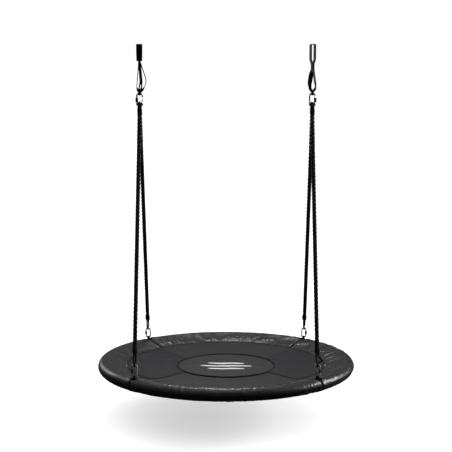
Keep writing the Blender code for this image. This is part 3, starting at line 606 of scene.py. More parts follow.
def light_floor():
    """Low soft suns that light the floor alone, so that the seat's shadow fades outwards."""
    floor_only = bpy.data.collections.new("floor_only")
    floor_only.objects.link(bpy.data.objects["floor"])
    height = math.tan(math.radians(FLOOR_SUN_HEIGHT))
    for k in range(FLOOR_SUNS):
        turn = math.tau * (k + 0.5) / FLOOR_SUNS
        place = (math.cos(turn), math.sin(turn), height)
        sun = sun_light(f"floor_sun_{k}", place, FLOOR_SUN_POWER, FLOOR_SUN_SPREAD)
        sun.light_linking.receiver_collection = floor_only


make_stage()
make_world()
light_floor()
sun_light("overhead", (-0.05, 0.10, 1.0), 1.0, 70.0)
area_light("key", (-0.1, 0.75, RIM_Z + 1.25), (0.0, -0.30, RIM_Z), 0.30, 7.0)
area_light("right", (3.0, 0.3, RIM_Z + 1.1), (0.5, -0.1, RIM_Z), 0.9, 90.0)
area_light("rear_left", (-2.8, 3.0, RIM_Z + 1.6), (-0.45, 0.0, RIM_Z), 1.4, 28.0)


# ---------------------------------------------------------------- ropes
corner_foot = {}
corner_up = {}
for corner, (side, rear) in CORNERS.items():
    foot = np.array([side * HANG_X, rear * TAB_Y, SEAT_WIRE_Z])
    leg_top = np.array([side * HANG_X, rear * LEG_HALF_GAP, LEG_TOP_Z])
    corner_foot[corner] = foot
    corner_up[corner] = unit(leg_top - foot)

EYE_FOOT = SEAT_LINK["length"] - SEAT_LINK["wire"] - EYE_CORD_R - GAP
EYE_BEND = SEAT_LINK["wire"] + EYE_CORD_R + 2 * GAP
EYE_THROAT = EYE_FOOT + 42.0 * MM
EYE_TWIST_LOW = 11.0 * MM
EYE_TWIST_RISE = 16.0 * MM
WHIPPING_FOOT = EYE_THROAT + 11.0 * MM
WHIPPING_LONG = 20.0 * MM
EYE_TAIL = EYE_THROAT + 20.0 * MM
EYE_SHAPES = {
    "front_left": (7.0 * MM, 7.0 * MM, 65.0),
    "front_right": (6.0 * MM, 24.0 * MM, 80.0),
    "rear_left": (7.0 * MM, 7.0 * MM, 55.0),
    "rear_right": (7.0 * MM, 7.0 * MM, 55.0),
}
STRANDS = 3
ROPE_LAY = 51.0 * MM
CORD_LAY = 24.0 * MM


def add_laid(shape, points, radius, lay, sides, first, closed=False):
    """Three strands laid round a path, filling a circle of this radius."""
    strand_r = radius / (1 + 2 / math.sqrt(3)) * 1.05
    orbit = radius - strand_r
    normals, along = carried_normals(points, first, closed)
    across = np.cross(along, normals)
    lengths = np.concatenate([[0.0], np.cumsum(np.linalg.norm(np.diff(points, axis=0), axis=1))])
    turns = lengths / lay
    if closed:
        total = lengths[-1] + np.linalg.norm(points[0] - points[-1])
        turns = lengths * round(total / lay) / total
    for strand in range(STRANDS):
        phase = (math.tau * (turns + strand / STRANDS))[:, None]
        spoke = np.cos(phase) * normals + np.sin(phase) * across
        middle = points + orbit * spoke
        heading = tangents_of(middle, closed)
        outward = spoke - heading * np.sum(spoke * heading, axis=1)[:, None]
        outward = outward / np.linalg.norm(outward, axis=1)[:, None]
        grid = tube_grid(middle, strand_r, sides, outward, heading)
        shape.add(grid, wrap_rows=closed, capped=not closed)


def rope_path(side):
    """From the front whipping up round the top link's bow and down to the rear whipping."""
    side_name = "left" if side < 0 else "right"
    x = side * HANG_X
    bight_r = TOP_LINK["bow"]
    path = []
    for rear in (-1, 1):
        corner = ("front_" if rear < 0 else "rear_") + side_name
        throat = corner_foot[corner] + corner_up[corner] * WHIPPING_FOOT
        leg = [throat, np.array([x, rear * LEG_HALF_GAP, LEG_TOP_Z])]
        leg.append(np.array([x, rear * LEG_HALF_GAP, SEIZING_TOP + 2.0 * MM]))
        for turn in np.radians(np.linspace(0.0, 80.0, 8)):
            leg.append(np.array([x, rear * bight_r * math.cos(turn), BIGHT_Z + bight_r * math.sin(turn)]))
        path += leg + [np.array([x, 0.0, BIGHT_Z + bight_r])] if rear < 0 else leg[::-1]
    return softened(resampled(path, 3.0 * MM), 6)


def rounded_loop(corners, radii, steps):
    """A closed plane outline with rounded corners."""
    count = len(corners)
    found = []
    for i in range(count):
        corner = np.array(corners[i], float)
        back = unit(np.array(corners[i - 1], float) - corner)
        on = unit(np.array(corners[(i + 1) % count], float) - corner)
        half = math.acos(max(-1.0, min(1.0, float(np.dot(back, on))))) / 2
        middle = corner + unit(back + on) * radii[i] / math.sin(half)
        start = corner + back * radii[i] / math.tan(half) - middle
        turn = math.copysign(1.0, -back[0] * on[1] + back[1] * on[0])
        for k in range(steps[i] + 1):
            angle = turn * (math.pi - 2 * half) * k / steps[i]
            c, s = math.cos(angle), math.sin(angle)
            found.append(middle + np.array([c * start[0] - s * start[1], s * start[0] + c * start[1]]))
    return found


def eye_path(corner):
    """The closed loop of thinner cord, hooked through its seat link and turned above it."""
    left, right, turn = EYE_SHAPES[corner]
    up_axis = corner_up[corner]
    away = np.cross(X_AXIS, up_axis)
    away = away * math.copysign(1.0, away[1])
    waist = EYE_FOOT + 0.45 * (EYE_THROAT - EYE_FOOT)
    outline = [
        (-EYE_BEND, EYE_FOOT),
        (EYE_BEND, EYE_FOOT),
        (right, waist),
        (EYE_CORD_R, EYE_THROAT),
        (EYE_CORD_R, EYE_TAIL),
        (-EYE_CORD_R, EYE_TAIL),
        (-EYE_CORD_R, EYE_THROAT),
        (-left, waist),
    ]
    radii = [EYE_BEND * 0.95, EYE_BEND * 0.95, 12 * MM, 20 * MM, 3.5 * MM, 3.5 * MM, 20 * MM, 12 * MM]
    loop = rounded_loop(outline, radii, [8, 8, 6, 4, 4, 4, 4, 6])
    points = []
    for across, up in loop:
        share = smooth_step((up - EYE_FOOT - EYE_TWIST_LOW) / EYE_TWIST_RISE)
        twist = math.radians(turn) * share
        bearing = away * math.cos(twist) + X_AXIS * math.sin(twist)
        points.append(corner_foot[corner] + up_axis * up + bearing * across)
    # The loop opens at its tail, inside the rope, where its two ends are.
    tail = max(range(len(loop)), key=lambda i: loop[i][1] - 0.01 * abs(loop[i][0]))
    points = points[tail:] + points[:tail]
    return softened(resampled(points, 1.5 * MM, closed=True), 3)


def wrapped_path(outline, low, high, turns, frame_of):
    """A thread wound round an outline. frame_of maps a plane point and a height into space."""
    count = len(outline)
    path = []
    for i in range(int(turns * count)):
        height = low + (high - low) * i / (turns * count)
        path.append(frame_of(outline[i % count], height))
    return np.array(path)


TWINE_R = 1.2 * MM
for side_name, side in SIDES.items():
    x = side * HANG_X
    path = rope_path(side)
    shape = Shape()
    add_laid(shape, path, ROPE_FULL_R, ROPE_LAY, 10, X_AXIS)
    rope = stand_for(shape.make(f"laid_rope_{side_name}", [ROPE]), "rope", "rope_" + side_name)

    reach = ROPE_R + GAP + TWINE_R
    outline = []
    for rear in (-1, 1):
        for k in range(13):
            turn = math.pi * k / 12 + (math.pi if rear < 0 else 0.0)
            outline.append((reach * math.cos(turn), rear * LEG_HALF_GAP + reach * math.sin(turn)))
    seizing_path = wrapped_path(
        outline,
        SEIZING_TOP - SEIZING_LONG + 1.5 * MM,
        SEIZING_TOP - 1.5 * MM,
        10,
        lambda spot, height: np.array([x + spot[0], spot[1], height]),
    )
    seizing_path = softened(seizing_path, 2)
    normals, along = carried_normals(seizing_path, Z_AXIS)
    shape = Shape()
    shape.add(tube_grid(seizing_path, TWINE_R, 7, normals, along), capped=True)
    twine = shape.make(f"seizing_twine_{side_name}", [TWINE])
    seizing = stand_for(twine, "twine", "rope_seizing_" + side_name)

    for end_name in ("front_", "rear_"):
        corner = end_name + side_name
        foot, up_axis = corner_foot[corner], corner_up[corner]
        away = np.cross(X_AXIS, up_axis)
        reach = ROPE_R + 0.6 * MM + TWINE_R * 0.9
        turns = [math.tau * k / 20 for k in range(20)]
        circle = [(reach * math.cos(turn), reach * math.sin(turn)) for turn in turns]
        whipping_path = wrapped_path(
            circle,
            WHIPPING_FOOT + 1.0 * MM,
            WHIPPING_FOOT + WHIPPING_LONG - 1.0 * MM,
            8,
            lambda spot, height: foot + up_axis * height + X_AXIS * spot[0] + away * spot[1],
        )
        normals, along = carried_normals(whipping_path, up_axis)
        shape = Shape()
        shape.add(tube_grid(whipping_path, TWINE_R, 7, normals, along), capped=True)
        name = f"whipping_twine_{corner}"
        stand_for(shape.make(name, [TWINE]), "twine", "eye_whipping_" + corner)

        loop = eye_path(corner)
        shape = Shape()
        add_laid(shape, loop, EYE_CORD_R, CORD_LAY, 8, X_AXIS)
        eye = go_with(shape.make(f"rope_eye_{corner}", [ROPE]), "rope_" + side_name)


# ---------------------------------------------------------------- quick links
THREAD_PITCH = 1.0 * MM


def hex_reach(turn, flats):
    """How far a hexagon's side lies from its middle in this direction."""
    sector = (turn + math.pi / 6) % (math.pi / 3) - math.pi / 6
    return flats / 2 / np.cos(sector)


def add_nut(shape, foot, up_axis, across_axis, nut, bore):
    """A long hexagonal nut with turned chamfers and a bore."""
    normal = np.cross(across_axis, up_axis)
    turns = math.tau * np.arange(72) / 72
    spokes = np.cos(turns)[:, None] * across_axis + np.sin(turns)[:, None] * normal
    corner_r = nut["flats"] / 2 / math.cos(math.pi / 6)
    rows = []
    edge = 1.4 * MM
    heights = [0.0, 0.0, 0.3, 0.7, 1.1, edge / MM]
    up_steps = [h * MM for h in heights]
    steps = up_steps + [nut["long"] / 2] + [nut["long"] - h for h in up_steps[::-1]]
    for index, height in enumerate(steps):
        from_end = min(height, nut["long"] - height)
        cone = nut["flats"] / 2 * 0.93 + from_end * 1.7
        reach = np.minimum(hex_reach(turns, nut["flats"]), min(cone, corner_r))
        if index in (0, len(steps) - 1):
            reach = np.full(len(turns), bore + 0.5 * MM)
        rows.append(foot + up_axis * (nut["low"] + height) + spokes * reach[:, None])
    for height in (nut["long"] - 0.5 * MM, nut["long"] / 2, 0.5 * MM):
        rows.append(foot + up_axis * (nut["low"] + height) + spokes * bore)
    shape.add(np.array(rows), wrap_rows=True)


def build_link(name, slot_name, dims, nut, opening_side, foot, up_axis):
    """The bent wire with its threaded ends, and its nut."""
    bow, length, wire = dims["bow"], dims["length"], dims["wire"]
    low = nut["low"] + (nut["long"] - LINK_GAP) / 2
    flat = [(1.0, low + 0.2 * MM)]
    for turn in np.linspace(0.0, math.pi, 25):
        flat.append((math.cos(turn), bow - bow * math.sin(turn)))
    for turn in np.linspace(math.pi, 0.0, 25):
        flat.append((math.cos(turn), length - bow + bow * math.sin(turn)))
    flat.append((1.0, low + LINK_GAP - 0.2 * MM))
    points = [foot + X_AXIS * opening_side * bow * across + up_axis * up for across, up in flat]
    line = resampled(points, 0.25 * MM)
    normal = np.cross(X_AXIS, up_axis)
    normals, along = carried_normals(line, normal)
    distance = np.arange(len(line)) * 0.25 * MM
    from_end = np.minimum(distance, distance[::-1])
    threads = np.clip(1.0 - (from_end - 7.0 * MM) / MM, 0.0, 1.0)
    grooves = 0.5 + 0.5 * np.cos(math.tau * from_end / THREAD_PITCH)
    radii = wire - threads * grooves * 0.35 * MM - np.clip(1.0 - from_end / (0.8 * MM), 0.0, 1.0) * 0.5 * MM
    keep = np.ones(len(line), bool)
    plain = from_end > 9.0 * MM
    keep[plain] = (np.arange(len(line))[plain] % 5) == 0
    shape = Shape()
    shape.add(tube_grid(line[keep], radii[keep], 18, normals[keep], along[keep]), capped=True)
    # The seat links take the darker copy of the same steel: painted shade, not a different finish.
    steel = BRIGHT_STEEL if name.startswith("top_link") else SHADED_STEEL
    stand_for(shape.make(name + "_wire", [steel]), slot_name, name)
    shape = Shape()
    leg = foot + X_AXIS * opening_side * bow
    add_nut(shape, leg, up_axis, X_AXIS, nut, wire + 0.15 * MM)
    nut_name = name.replace("link", "link_nut")
    stand_for(shape.make(nut_name + "_hex", [DARK_STEEL]), "dark_nut", nut_name)


for side_name, side in SIDES.items():
    foot = np.array([side * HANG_X, 0.0, BIGHT_Z])
    build_link("top_link_" + side_name, "bright_steel", TOP_LINK, TOP_NUT, side, foot, Z_AXIS)
for corner, (side, rear) in CORNERS.items():
    foot, up_axis = corner_foot[corner], corner_up[corner]
    build_link("seat_link_" + corner, "bright_steel", SEAT_LINK, SEAT_NUT, side, foot, up_axis)


# ---------------------------------------------------------------- webbing
def ribbon_section(width, thick, folds):
    """A strap's section as (across, out) points, rounded at its edges and pleated by folds."""
    shares = np.linspace(-1.0, 1.0, 9)
    face = [(s * (width / 2 - thick * 0.3), thick / 2 * (1.0 - 0.25 * abs(s) ** 6)) for s in shares]
    section = face + [(width / 2, 0.0)] + [(s, -t) for s, t in face[::-1]] + [(-width / 2, 0.0)]
    return [(s, t + folds * math.cos(2.5 * math.pi * s / width)) for s, t in section]


def ribbon_grid(loop, place, width_axis, width_at, folds_at, thick, step=1.6 * MM):
    """Rows of a strap's cross-section along a closed plane outline."""
    flat = resampled([(across, up, 0.0) for across, up in loop], step, closed=True)[:, :2]
    points = np.array([place(point) for point in flat])
    points = softened(points, 2, closed=True)
    along = tangents_of(points, True)
    rows = []
    for point, centre, ahead in zip(flat, points, along):
        across = width_axis(point)
        across = unit(across - ahead * np.dot(across, ahead))
        face = np.cross(ahead, across)
        section = ribbon_section(width_at(point[1]), thick, folds_at(point[1]))
        rows.append([centre + across * s + face * t for s, t in section])
    return np.array(rows)


TAB_BEND = SEAT_LINK["wire"] + 2.4 * MM + TAB_WEB / 2
TAB_TUBE_BEND = TUBE_R + 0.5 * MM + TAB_WEB / 2
TAB_TWIST_LOW = 12.0 * MM
TAB_TWIST_HIGH = 26.0 * MM
TAB_TOP = SEAT_WIRE_Z - RIM_Z


def tab_angle(corner):
    side, rear = CORNERS[corner]
    return math.atan2(rear * TAB_Y, side * HANG_X) % math.tau


def build_tab(corner):
    """A loop of webbing round the tube, gathered where it holds the link."""
    rear = CORNERS[corner][1]
    angle = tab_angle(corner)
    reach = TUBE_RING_R * math.cos(RING_STEP / 2)
    centre = np.array([reach * math.cos(angle), reach * math.sin(angle), RIM_Z])
    outward = np.array([math.cos(angle), math.sin(angle), 0.0])

    def share_at(height):
        return smooth_step((height - TAB_TWIST_LOW) / (TAB_TWIST_HIGH - TAB_TWIST_LOW))

    def bearing(height):
        share = share_at(height)
        return unit(outward * (1.0 - share) + Y_AXIS * rear * share)

    low, high = -TAB_TUBE_BEND, TAB_TOP + TAB_BEND
    outline = [
        (-TAB_TUBE_BEND, low),
        (TAB_TUBE_BEND, low),
        (TAB_TUBE_BEND, 6.0 * MM),
        (TAB_BEND, TAB_TOP - 4.0 * MM),
        (TAB_BEND, high),
        (-TAB_BEND, high),
        (-TAB_BEND, TAB_TOP - 4.0 * MM),
        (-TAB_TUBE_BEND, 6.0 * MM),
    ]
    tube_r, wire_r = TAB_TUBE_BEND * 0.98, TAB_BEND * 0.98
    radii = [tube_r, tube_r, 6 * MM, 6 * MM, wire_r, wire_r, 6 * MM, 6 * MM]
    loop = rounded_loop(outline, radii, [8, 8, 3, 3, 6, 6, 3, 3])
    grid = ribbon_grid(
        loop,
        lambda point: centre + bearing(point[1]) * point[0] + Z_AXIS * point[1],
        lambda point: np.cross(bearing(point[1]), Z_AXIS),
        lambda height: TAB_WIDTH + (TAB_NECK - TAB_WIDTH) * share_at(height),
        lambda height: 0.35 * MM * share_at(height),
        TAB_WEB,
    )
    shape = Shape()
    shape.add(grid, wrap_rows=True)
    # Two rows of stitches close the loop just above the tube.
    for height in (8.0 * MM, 11.0 * MM):
        facing = bearing(height)
        across = np.cross(facing, Z_AXIS)
        spread = TAB_TUBE_BEND - (height - 6.0 * MM) * 0.36
        for face in (-1, 1):
            middle = centre + facing * face * (spread + TAB_WEB / 2) + Z_AXIS * height
            line = [middle - across * 8.0 * MM, middle + across * 8.0 * MM]
            add_stitches(shape, line, facing * face, slot=1, pitch=3.2 * MM, radius=0.4 * MM)
    stand_for(shape.make(f"tab_webbing_{corner}", [WEBBING, THREAD]), "webbing", "rim_tab_" + corner)


for corner in CORNERS:
    build_tab(corner)

STRAP_BEND = TOP_LINK["wire"] + 3.1 * MM + STRAP_WEB / 2
OUTER_STRAP_BEND = STRAP_BEND + 0.7 * MM
NECK_RISE = 45.0 * MM
STRAND_TURN_RISE = 27.0 * MM
BLOCK_TURN_RISE = 30.0 * MM
EYE_TAPER = 22.0 * MM
LAYER_HALF = 2.4 * MM
INNER_LAYER_HALF = 1.62 * MM
STITCH_LAP = 14.0 * MM
STRAP_SHAPES = {
    "left": {
        "stitch": (-50.0 * MM, -71.0 * MM),
        "turn": 90.0,
        "lower_turn": 15.0,
        "loops": [
            (STRAP_BEND, LAYER_HALF, (-12.0 * MM, 24.0 * MM, 10.0), (30.0 * MM, 52.0 * MM, 10.0)),
            (OUTER_STRAP_BEND, INNER_LAYER_HALF, (4.0 * MM, 50.0 * MM, 20.0), (9.0 * MM, 50.0 * MM, 20.0)),
        ],
    },
    "right": {
        "stitch": (-84.0 * MM, -100.0 * MM),
        "turn": 20.0,
        "lower_turn": 20.0,
        "loops": [(STRAP_BEND, LAYER_HALF, (-12.0 * MM, 40.0 * MM, 46.0), (14.0 * MM, 26.0 * MM, 16.0))],
    },
}


def turned(degrees):
    """A level direction, turned from the X axis towards the Y axis."""
    angle = math.radians(degrees)
    return X_AXIS * math.cos(angle) + Y_AXIS * math.sin(angle)


def eye_outline(bend, shoulders, ends):
    """A closed strap outline: the bend, each side's widest place, and the ends in the stitching."""
    (low, low_half), (right, left), (layer, top, foot) = bend, shoulders, ends
    return [
        (-low_half, low), (low_half, low), right, (layer, top),
        (layer, foot), (-layer, foot), (-layer, top), left,
    ]


def upper_eye_grid(base, made):
    stitch_top = made["stitch"][0]
    shoulder = stitch_top + EYE_TAPER
    outline = eye_outline(
        (STRAP_WEB / 2, STRAP_EYE_HALF),
        ((STRAP_EYE_HALF, shoulder), (-STRAP_EYE_HALF, shoulder)),
        (LAYER_HALF, stitch_top, stitch_top - STITCH_LAP),
    )
    bend = 3.2 * MM
    radii = [bend, bend, 20 * MM, 12 * MM, 2 * MM, 2 * MM, 12 * MM, 20 * MM]
    along = turned(made["turn"])
    return ribbon_grid(
        rounded_loop(outline, radii, [6, 6, 4, 4, 3, 3, 4, 4]),
        lambda point: base + along * point[0] + Z_AXIS * point[1],
        lambda point: np.cross(along, Z_AXIS),
        lambda height: STRAP_WIDTH,
        lambda height: 0.0,
        STRAP_WEB,
    )


def lower_eye_grid(base, made, bend, layer, left, right):
    """One loop round the link's wire, front to back there, with its strands spread sideways above."""
    stitch_foot = made["stitch"][1]
    outline = eye_outline(
        (TOP_WIRE_Z - bend, bend),
        ((right[0], TOP_WIRE_Z + right[1]), (left[0], TOP_WIRE_Z + left[1])),
        (layer, stitch_foot, stitch_foot + STITCH_LAP * layer / LAYER_HALF),
    )
    tight, fold = bend * 0.86, layer * 0.8
    radii = [tight, tight, 40 * MM, 15 * MM, fold, fold, 15 * MM, 40 * MM]

    def facing(height, spread_turn):
        block_share = smooth_step((height - stitch_foot + BLOCK_TURN_RISE) / BLOCK_TURN_RISE)
        spread_turn += (made["lower_turn"] - spread_turn) * block_share
        wire_share = smooth_step((height - TOP_WIRE_Z) / STRAND_TURN_RISE)
        return turned(90.0 + (spread_turn - 90.0) * wire_share)

    def width_axis(point):
        middle = 0.5 * (left[0] + right[0])
        right_share = smooth_step((point[0] - middle) / (4.0 * MM) + 0.5)
        return np.cross(facing(point[1], left[2] + (right[2] - left[2]) * right_share), Z_AXIS)

    def opened(height):
        return smooth_step((height - TOP_WIRE_Z - STRAP_BEND) / NECK_RISE)

    return ribbon_grid(
        rounded_loop(outline, radii, [8, 8, 6, 4, 3, 3, 4, 6]),
        lambda point: base + facing(point[1], 0.0) * point[0] + Z_AXIS * point[1],
        width_axis,
        lambda height: STRAP_NECK + (STRAP_WIDTH - STRAP_NECK) * opened(height),
        lambda height: 0.5 * MM * (1.0 - opened(height)),
        STRAP_WEB,
    )


def build_strap(side_name):
    """A sewn webbing strap with an eye at each end."""
    made = STRAP_SHAPES[side_name]
    base = np.array([SIDES[side_name] * HANG_X, 0.0, 0.0])
    shape = Shape()
    shape.add(upper_eye_grid(base, made), wrap_rows=True)
    for bend, layer, left, right in made["loops"]:
        shape.add(lower_eye_grid(base, made, bend, layer, left, right), wrap_rows=True)

    # The sewn layers between the eyes, with a crossed box of stitches on both faces.
    along = turned(made["turn"])
    across = np.cross(along, Z_AXIS)
    half_thick = LAYER_HALF + STRAP_WEB / 2 - 0.2 * MM
    stitch_top, stitch_foot = made["stitch"]
    section = ribbon_section(STRAP_WIDTH - 0.6 * MM, 2 * half_thick, 0.0)
    rows = [
        [base + Z_AXIS * height + across * s + along * t for s, t in section]
        for height in np.linspace(stitch_foot + 2.0 * MM, stitch_top - 2.0 * MM, 12)
    ]
    shape.add(np.array(rows), capped=True)
    half = STRAP_WIDTH / 2 - 3.0 * MM
    top, low = stitch_top - 4.0 * MM, stitch_foot + 4.0 * MM
    for face in (-1, 1):
        out = along * face * (half_thick + 0.1 * MM)
        spots = [(-half, low), (half, low), (half, top), (-half, top), (-half, low), (half, top)]
        for start, end in list(zip(spots[:-1], spots[1:])) + [((half, low), (-half, top))]:
            line = [base + out + across * s + Z_AXIS * z for s, z in (start, end)]
            add_stitches(shape, line, along * face, slot=1, pitch=3.0 * MM, radius=0.45 * MM)
    return shape


for side_name in SIDES:
    shape = build_strap(side_name)
    strap = shape.make(f"strap_webbing_{side_name}", [WEBBING, THREAD])
    stand_for(strap, "webbing", "hanging_strap_" + side_name)


# ---------------------------------------------------------------- rim: tube, foam and sleeves
SPANS = {
    "right": ("front_right", "rear_right"),
    "rear": ("rear_right", "rear_left"),
    "left": ("rear_left", "front_left"),
    "front": ("front_left", "front_right"),
}
TUBE_STARTS = {"rear_right": 0, "rear_left": 90, "front_left": 180, "front_right": 270}
SLEEVE_STEP = 3.2 * MM
SLEEVE_CLOTH = 0.9 * MM


def ring_points(angles, out, up):
    """Points of the ring at these angles, distances out from the tube's centre, and heights."""
    reach = (TUBE_RING_R + out) * RING_MEAN
    return np.stack([reach * np.cos(angles), reach * np.sin(angles), RIM_Z + up + 0 * angles], axis=-1)


def ring_tube(name, start, end, radius, bore, material):
    """A hollow length of the ring, as rows of its outer and inner skins."""
    angles = np.linspace(start, end, 120)[:, None]
    turns = math.tau * np.arange(28) / 28
    grid_out = ring_points(angles, radius * np.cos(turns)[None, :], radius * np.sin(turns)[None, :])
    grid_in = ring_points(angles, bore * np.cos(turns)[None, :], bore * np.sin(turns)[None, :])
    grid = np.concatenate([grid_out, grid_in[::-1]])
    shape = Shape()
    shape.add(grid, wrap_rows=True)
    return shape.make(name, [material])


TUBE_END_GAP = 0.5 * MM / TUBE_RING_R
for place, start in TUBE_STARTS.items():
    tube = ring_tube(
        f"steel_tube_{place}",
        math.radians(start) + TUBE_END_GAP,
        math.radians(start + 90) - TUBE_END_GAP,
        TUBE_R - 0.2 * MM,
        TUBE_R - 1.5 * MM,
        TUBE_STEEL,
    )
    stand_for(tube, "tube_steel", "rim_tube_" + place)


def span_angles(place):
    from_corner, to_corner = SPANS[place]
    start, end = tab_angle(from_corner), tab_angle(to_corner)
    return start, end + math.tau if end < start else end


def build_foam(place):
    """The foam lagging, slit open over each tab, with soft uneven skin."""
    start, end = span_angles(place)
    turn = TAB_FOAM_GAP / TUBE_RING_R
    rows = 170
    turns = math.tau * (np.arange(36) + 0.5) / 36
    share = np.linspace(0.0, 1.0, rows)[:, None]
    out, up = np.cos(turns)[None, :], np.sin(turns)[None, :]
    notch = np.sqrt(np.clip(NOTCH_R**2 - (FOAM_R * out) ** 2, 0.0, None)) * (up > 0)
    edge = np.maximum(turn, (notch + 1.0 * MM) / TUBE_RING_R)
    angles = start + edge + (end - start - 2 * edge) * share
    dents = lattice_noise(angles * 14.0, turns[None, :] * 1.6 + 3.0, 41)
    skin = FOAM_R - 1.9 * MM + 0.3 * MM * dents
    grid_out = ring_points(angles, skin * out, skin * up)
    bore = FOAM_BORE_R + 0 * share
    grid_in = ring_points(angles, bore * out, bore * up)
    shape = Shape()
    shape.add(np.concatenate([grid_out, grid_in[::-1]]), wrap_rows=True)
    foam = stand_for(shape.make(f"foam_lagging_{place}", [FOAM]), "foam", "rim_foam_" + place)


def sleeve_profile():
    """The sleeve's section from its upper seam to its lower, as (out, up) points."""
    seam_out = SEAM_R - TUBE_RING_R
    radius = SLEEVE_R - 0.2 * MM
    lean = math.atan2(-SEAM_DROP, seam_out) % math.tau
    spread = math.acos(radius / math.hypot(seam_out, SEAM_DROP))
    top, foot = lean - spread, lean + spread - math.tau
    points = [(seam_out, SEAM_HALF - SEAM_DROP)]
    points += [(radius * math.cos(t), radius * math.sin(t)) for t in np.linspace(top, foot, 60)]
    points.append((seam_out, -SEAM_HALF - SEAM_DROP))
    line = resampled([(out, up, 0.0) for out, up in points], SLEEVE_STEP)
    return softened(line, 2)[:, :2]


PROFILE = sleeve_profile()
PROFILE_STEPS = np.concatenate([[0.0], np.cumsum(np.linalg.norm(np.diff(PROFILE, axis=0), axis=1))])
PROFILE_ALONG = np.gradient(PROFILE, axis=0)
PROFILE_OUT = np.column_stack([-PROFILE_ALONG[:, 1], PROFILE_ALONG[:, 0]])
PROFILE_OUT = PROFILE_OUT / np.linalg.norm(PROFILE_OUT, axis=1)[:, None]
# How much each sleeve is creased: seam gathers, crinkles on the tube, broad dents, drag lines from the ends.
SLEEVE_CREASES = {
    "front": (1.7, 2.2, 1.6, 1.5),
    "rear": (2.0, 1.4, 1.9, 1.6),
    "left": (0.8, 0.5, 0.9, 1.2),
    "right": (1.2, 2.4, 1.3, 1.5),
}
SLEEVE_SEEDS = {"front": 11, "rear": 23, "left": 37, "right": 53}


def wrinkle_height(place, u, v, from_start, from_end):
    """How far the sleeve stands off its smooth shape. u runs round the ring, v from the upper seam."""
    gathers, crinkles, dents, drags = SLEEVE_CREASES[place]
    seed = SLEEVE_SEEDS[place]
    girth = PROFILE_STEPS[-1]
    near_seam = np.exp(-((v / 0.045) ** 2)) + np.exp(-(((girth - v) / 0.045) ** 2))
    top = np.clip((v - 0.004) / 0.02, 0.0, 1.0) * np.clip((girth - v - 0.004) / 0.02, 0.0, 1.0)
    on_tube = smooth_step((v - 0.07) / 0.03) * smooth_step((girth - v - 0.07) / 0.03)
    slant = 0.35 * lattice_noise(u * 7.0, v * 6.0, seed + 1)
    lean_u = u + slant * v
    gather = creases(lean_u * 34.0, v * 7.0, seed + 2) * 1.6
    gather = gather + lattice_noise(lean_u * 22.0, v * 5.0, seed + 3)
    height = gathers * near_seam * top * gather * 1.5 * MM
    patch = 0.55 + 0.75 * lattice_noise(u * 5.0, v * 9.0, seed + 4)
    crinkle = creases(u * 60.0 + 0.4 * lattice_noise(u * 20.0, v * 25.0, seed + 5), v * 22.0, seed + 6)
    crinkle = crinkle + 0.6 * lattice_noise(u * 85.0, v * 30.0, seed + 7)
    height = height + crinkles * on_tube * np.clip(patch, 0.1, 1.4) * (crinkle - 0.5) * 1.1 * MM
    band = smooth_step(v / 0.03) * smooth_step((0.115 - v) / 0.05)
    band = band + smooth_step((girth - v) / 0.03) * smooth_step((0.115 - girth + v) / 0.05)
    broad = lattice_noise(u * 8.0, v * 12.0, seed + 8) - 0.45
    folds = creases(u * 13.0 + v * 9.0, v * 11.0 - u * 4.0, seed + 9)
    height = height + dents * band * (broad * 2.2 * MM + folds * 2.4 * MM)
    for distance, which in ((from_start, 10), (from_end, 11)):
        reach = np.exp(-((distance / 0.06) ** 2))
        fan = creases(distance * 9.0, (v - 0.09) / (distance + 0.035) * 0.9, seed + which)
        height = height + drags * reach * fan * smooth_step(distance / 0.012) * 1.5 * MM
    return height


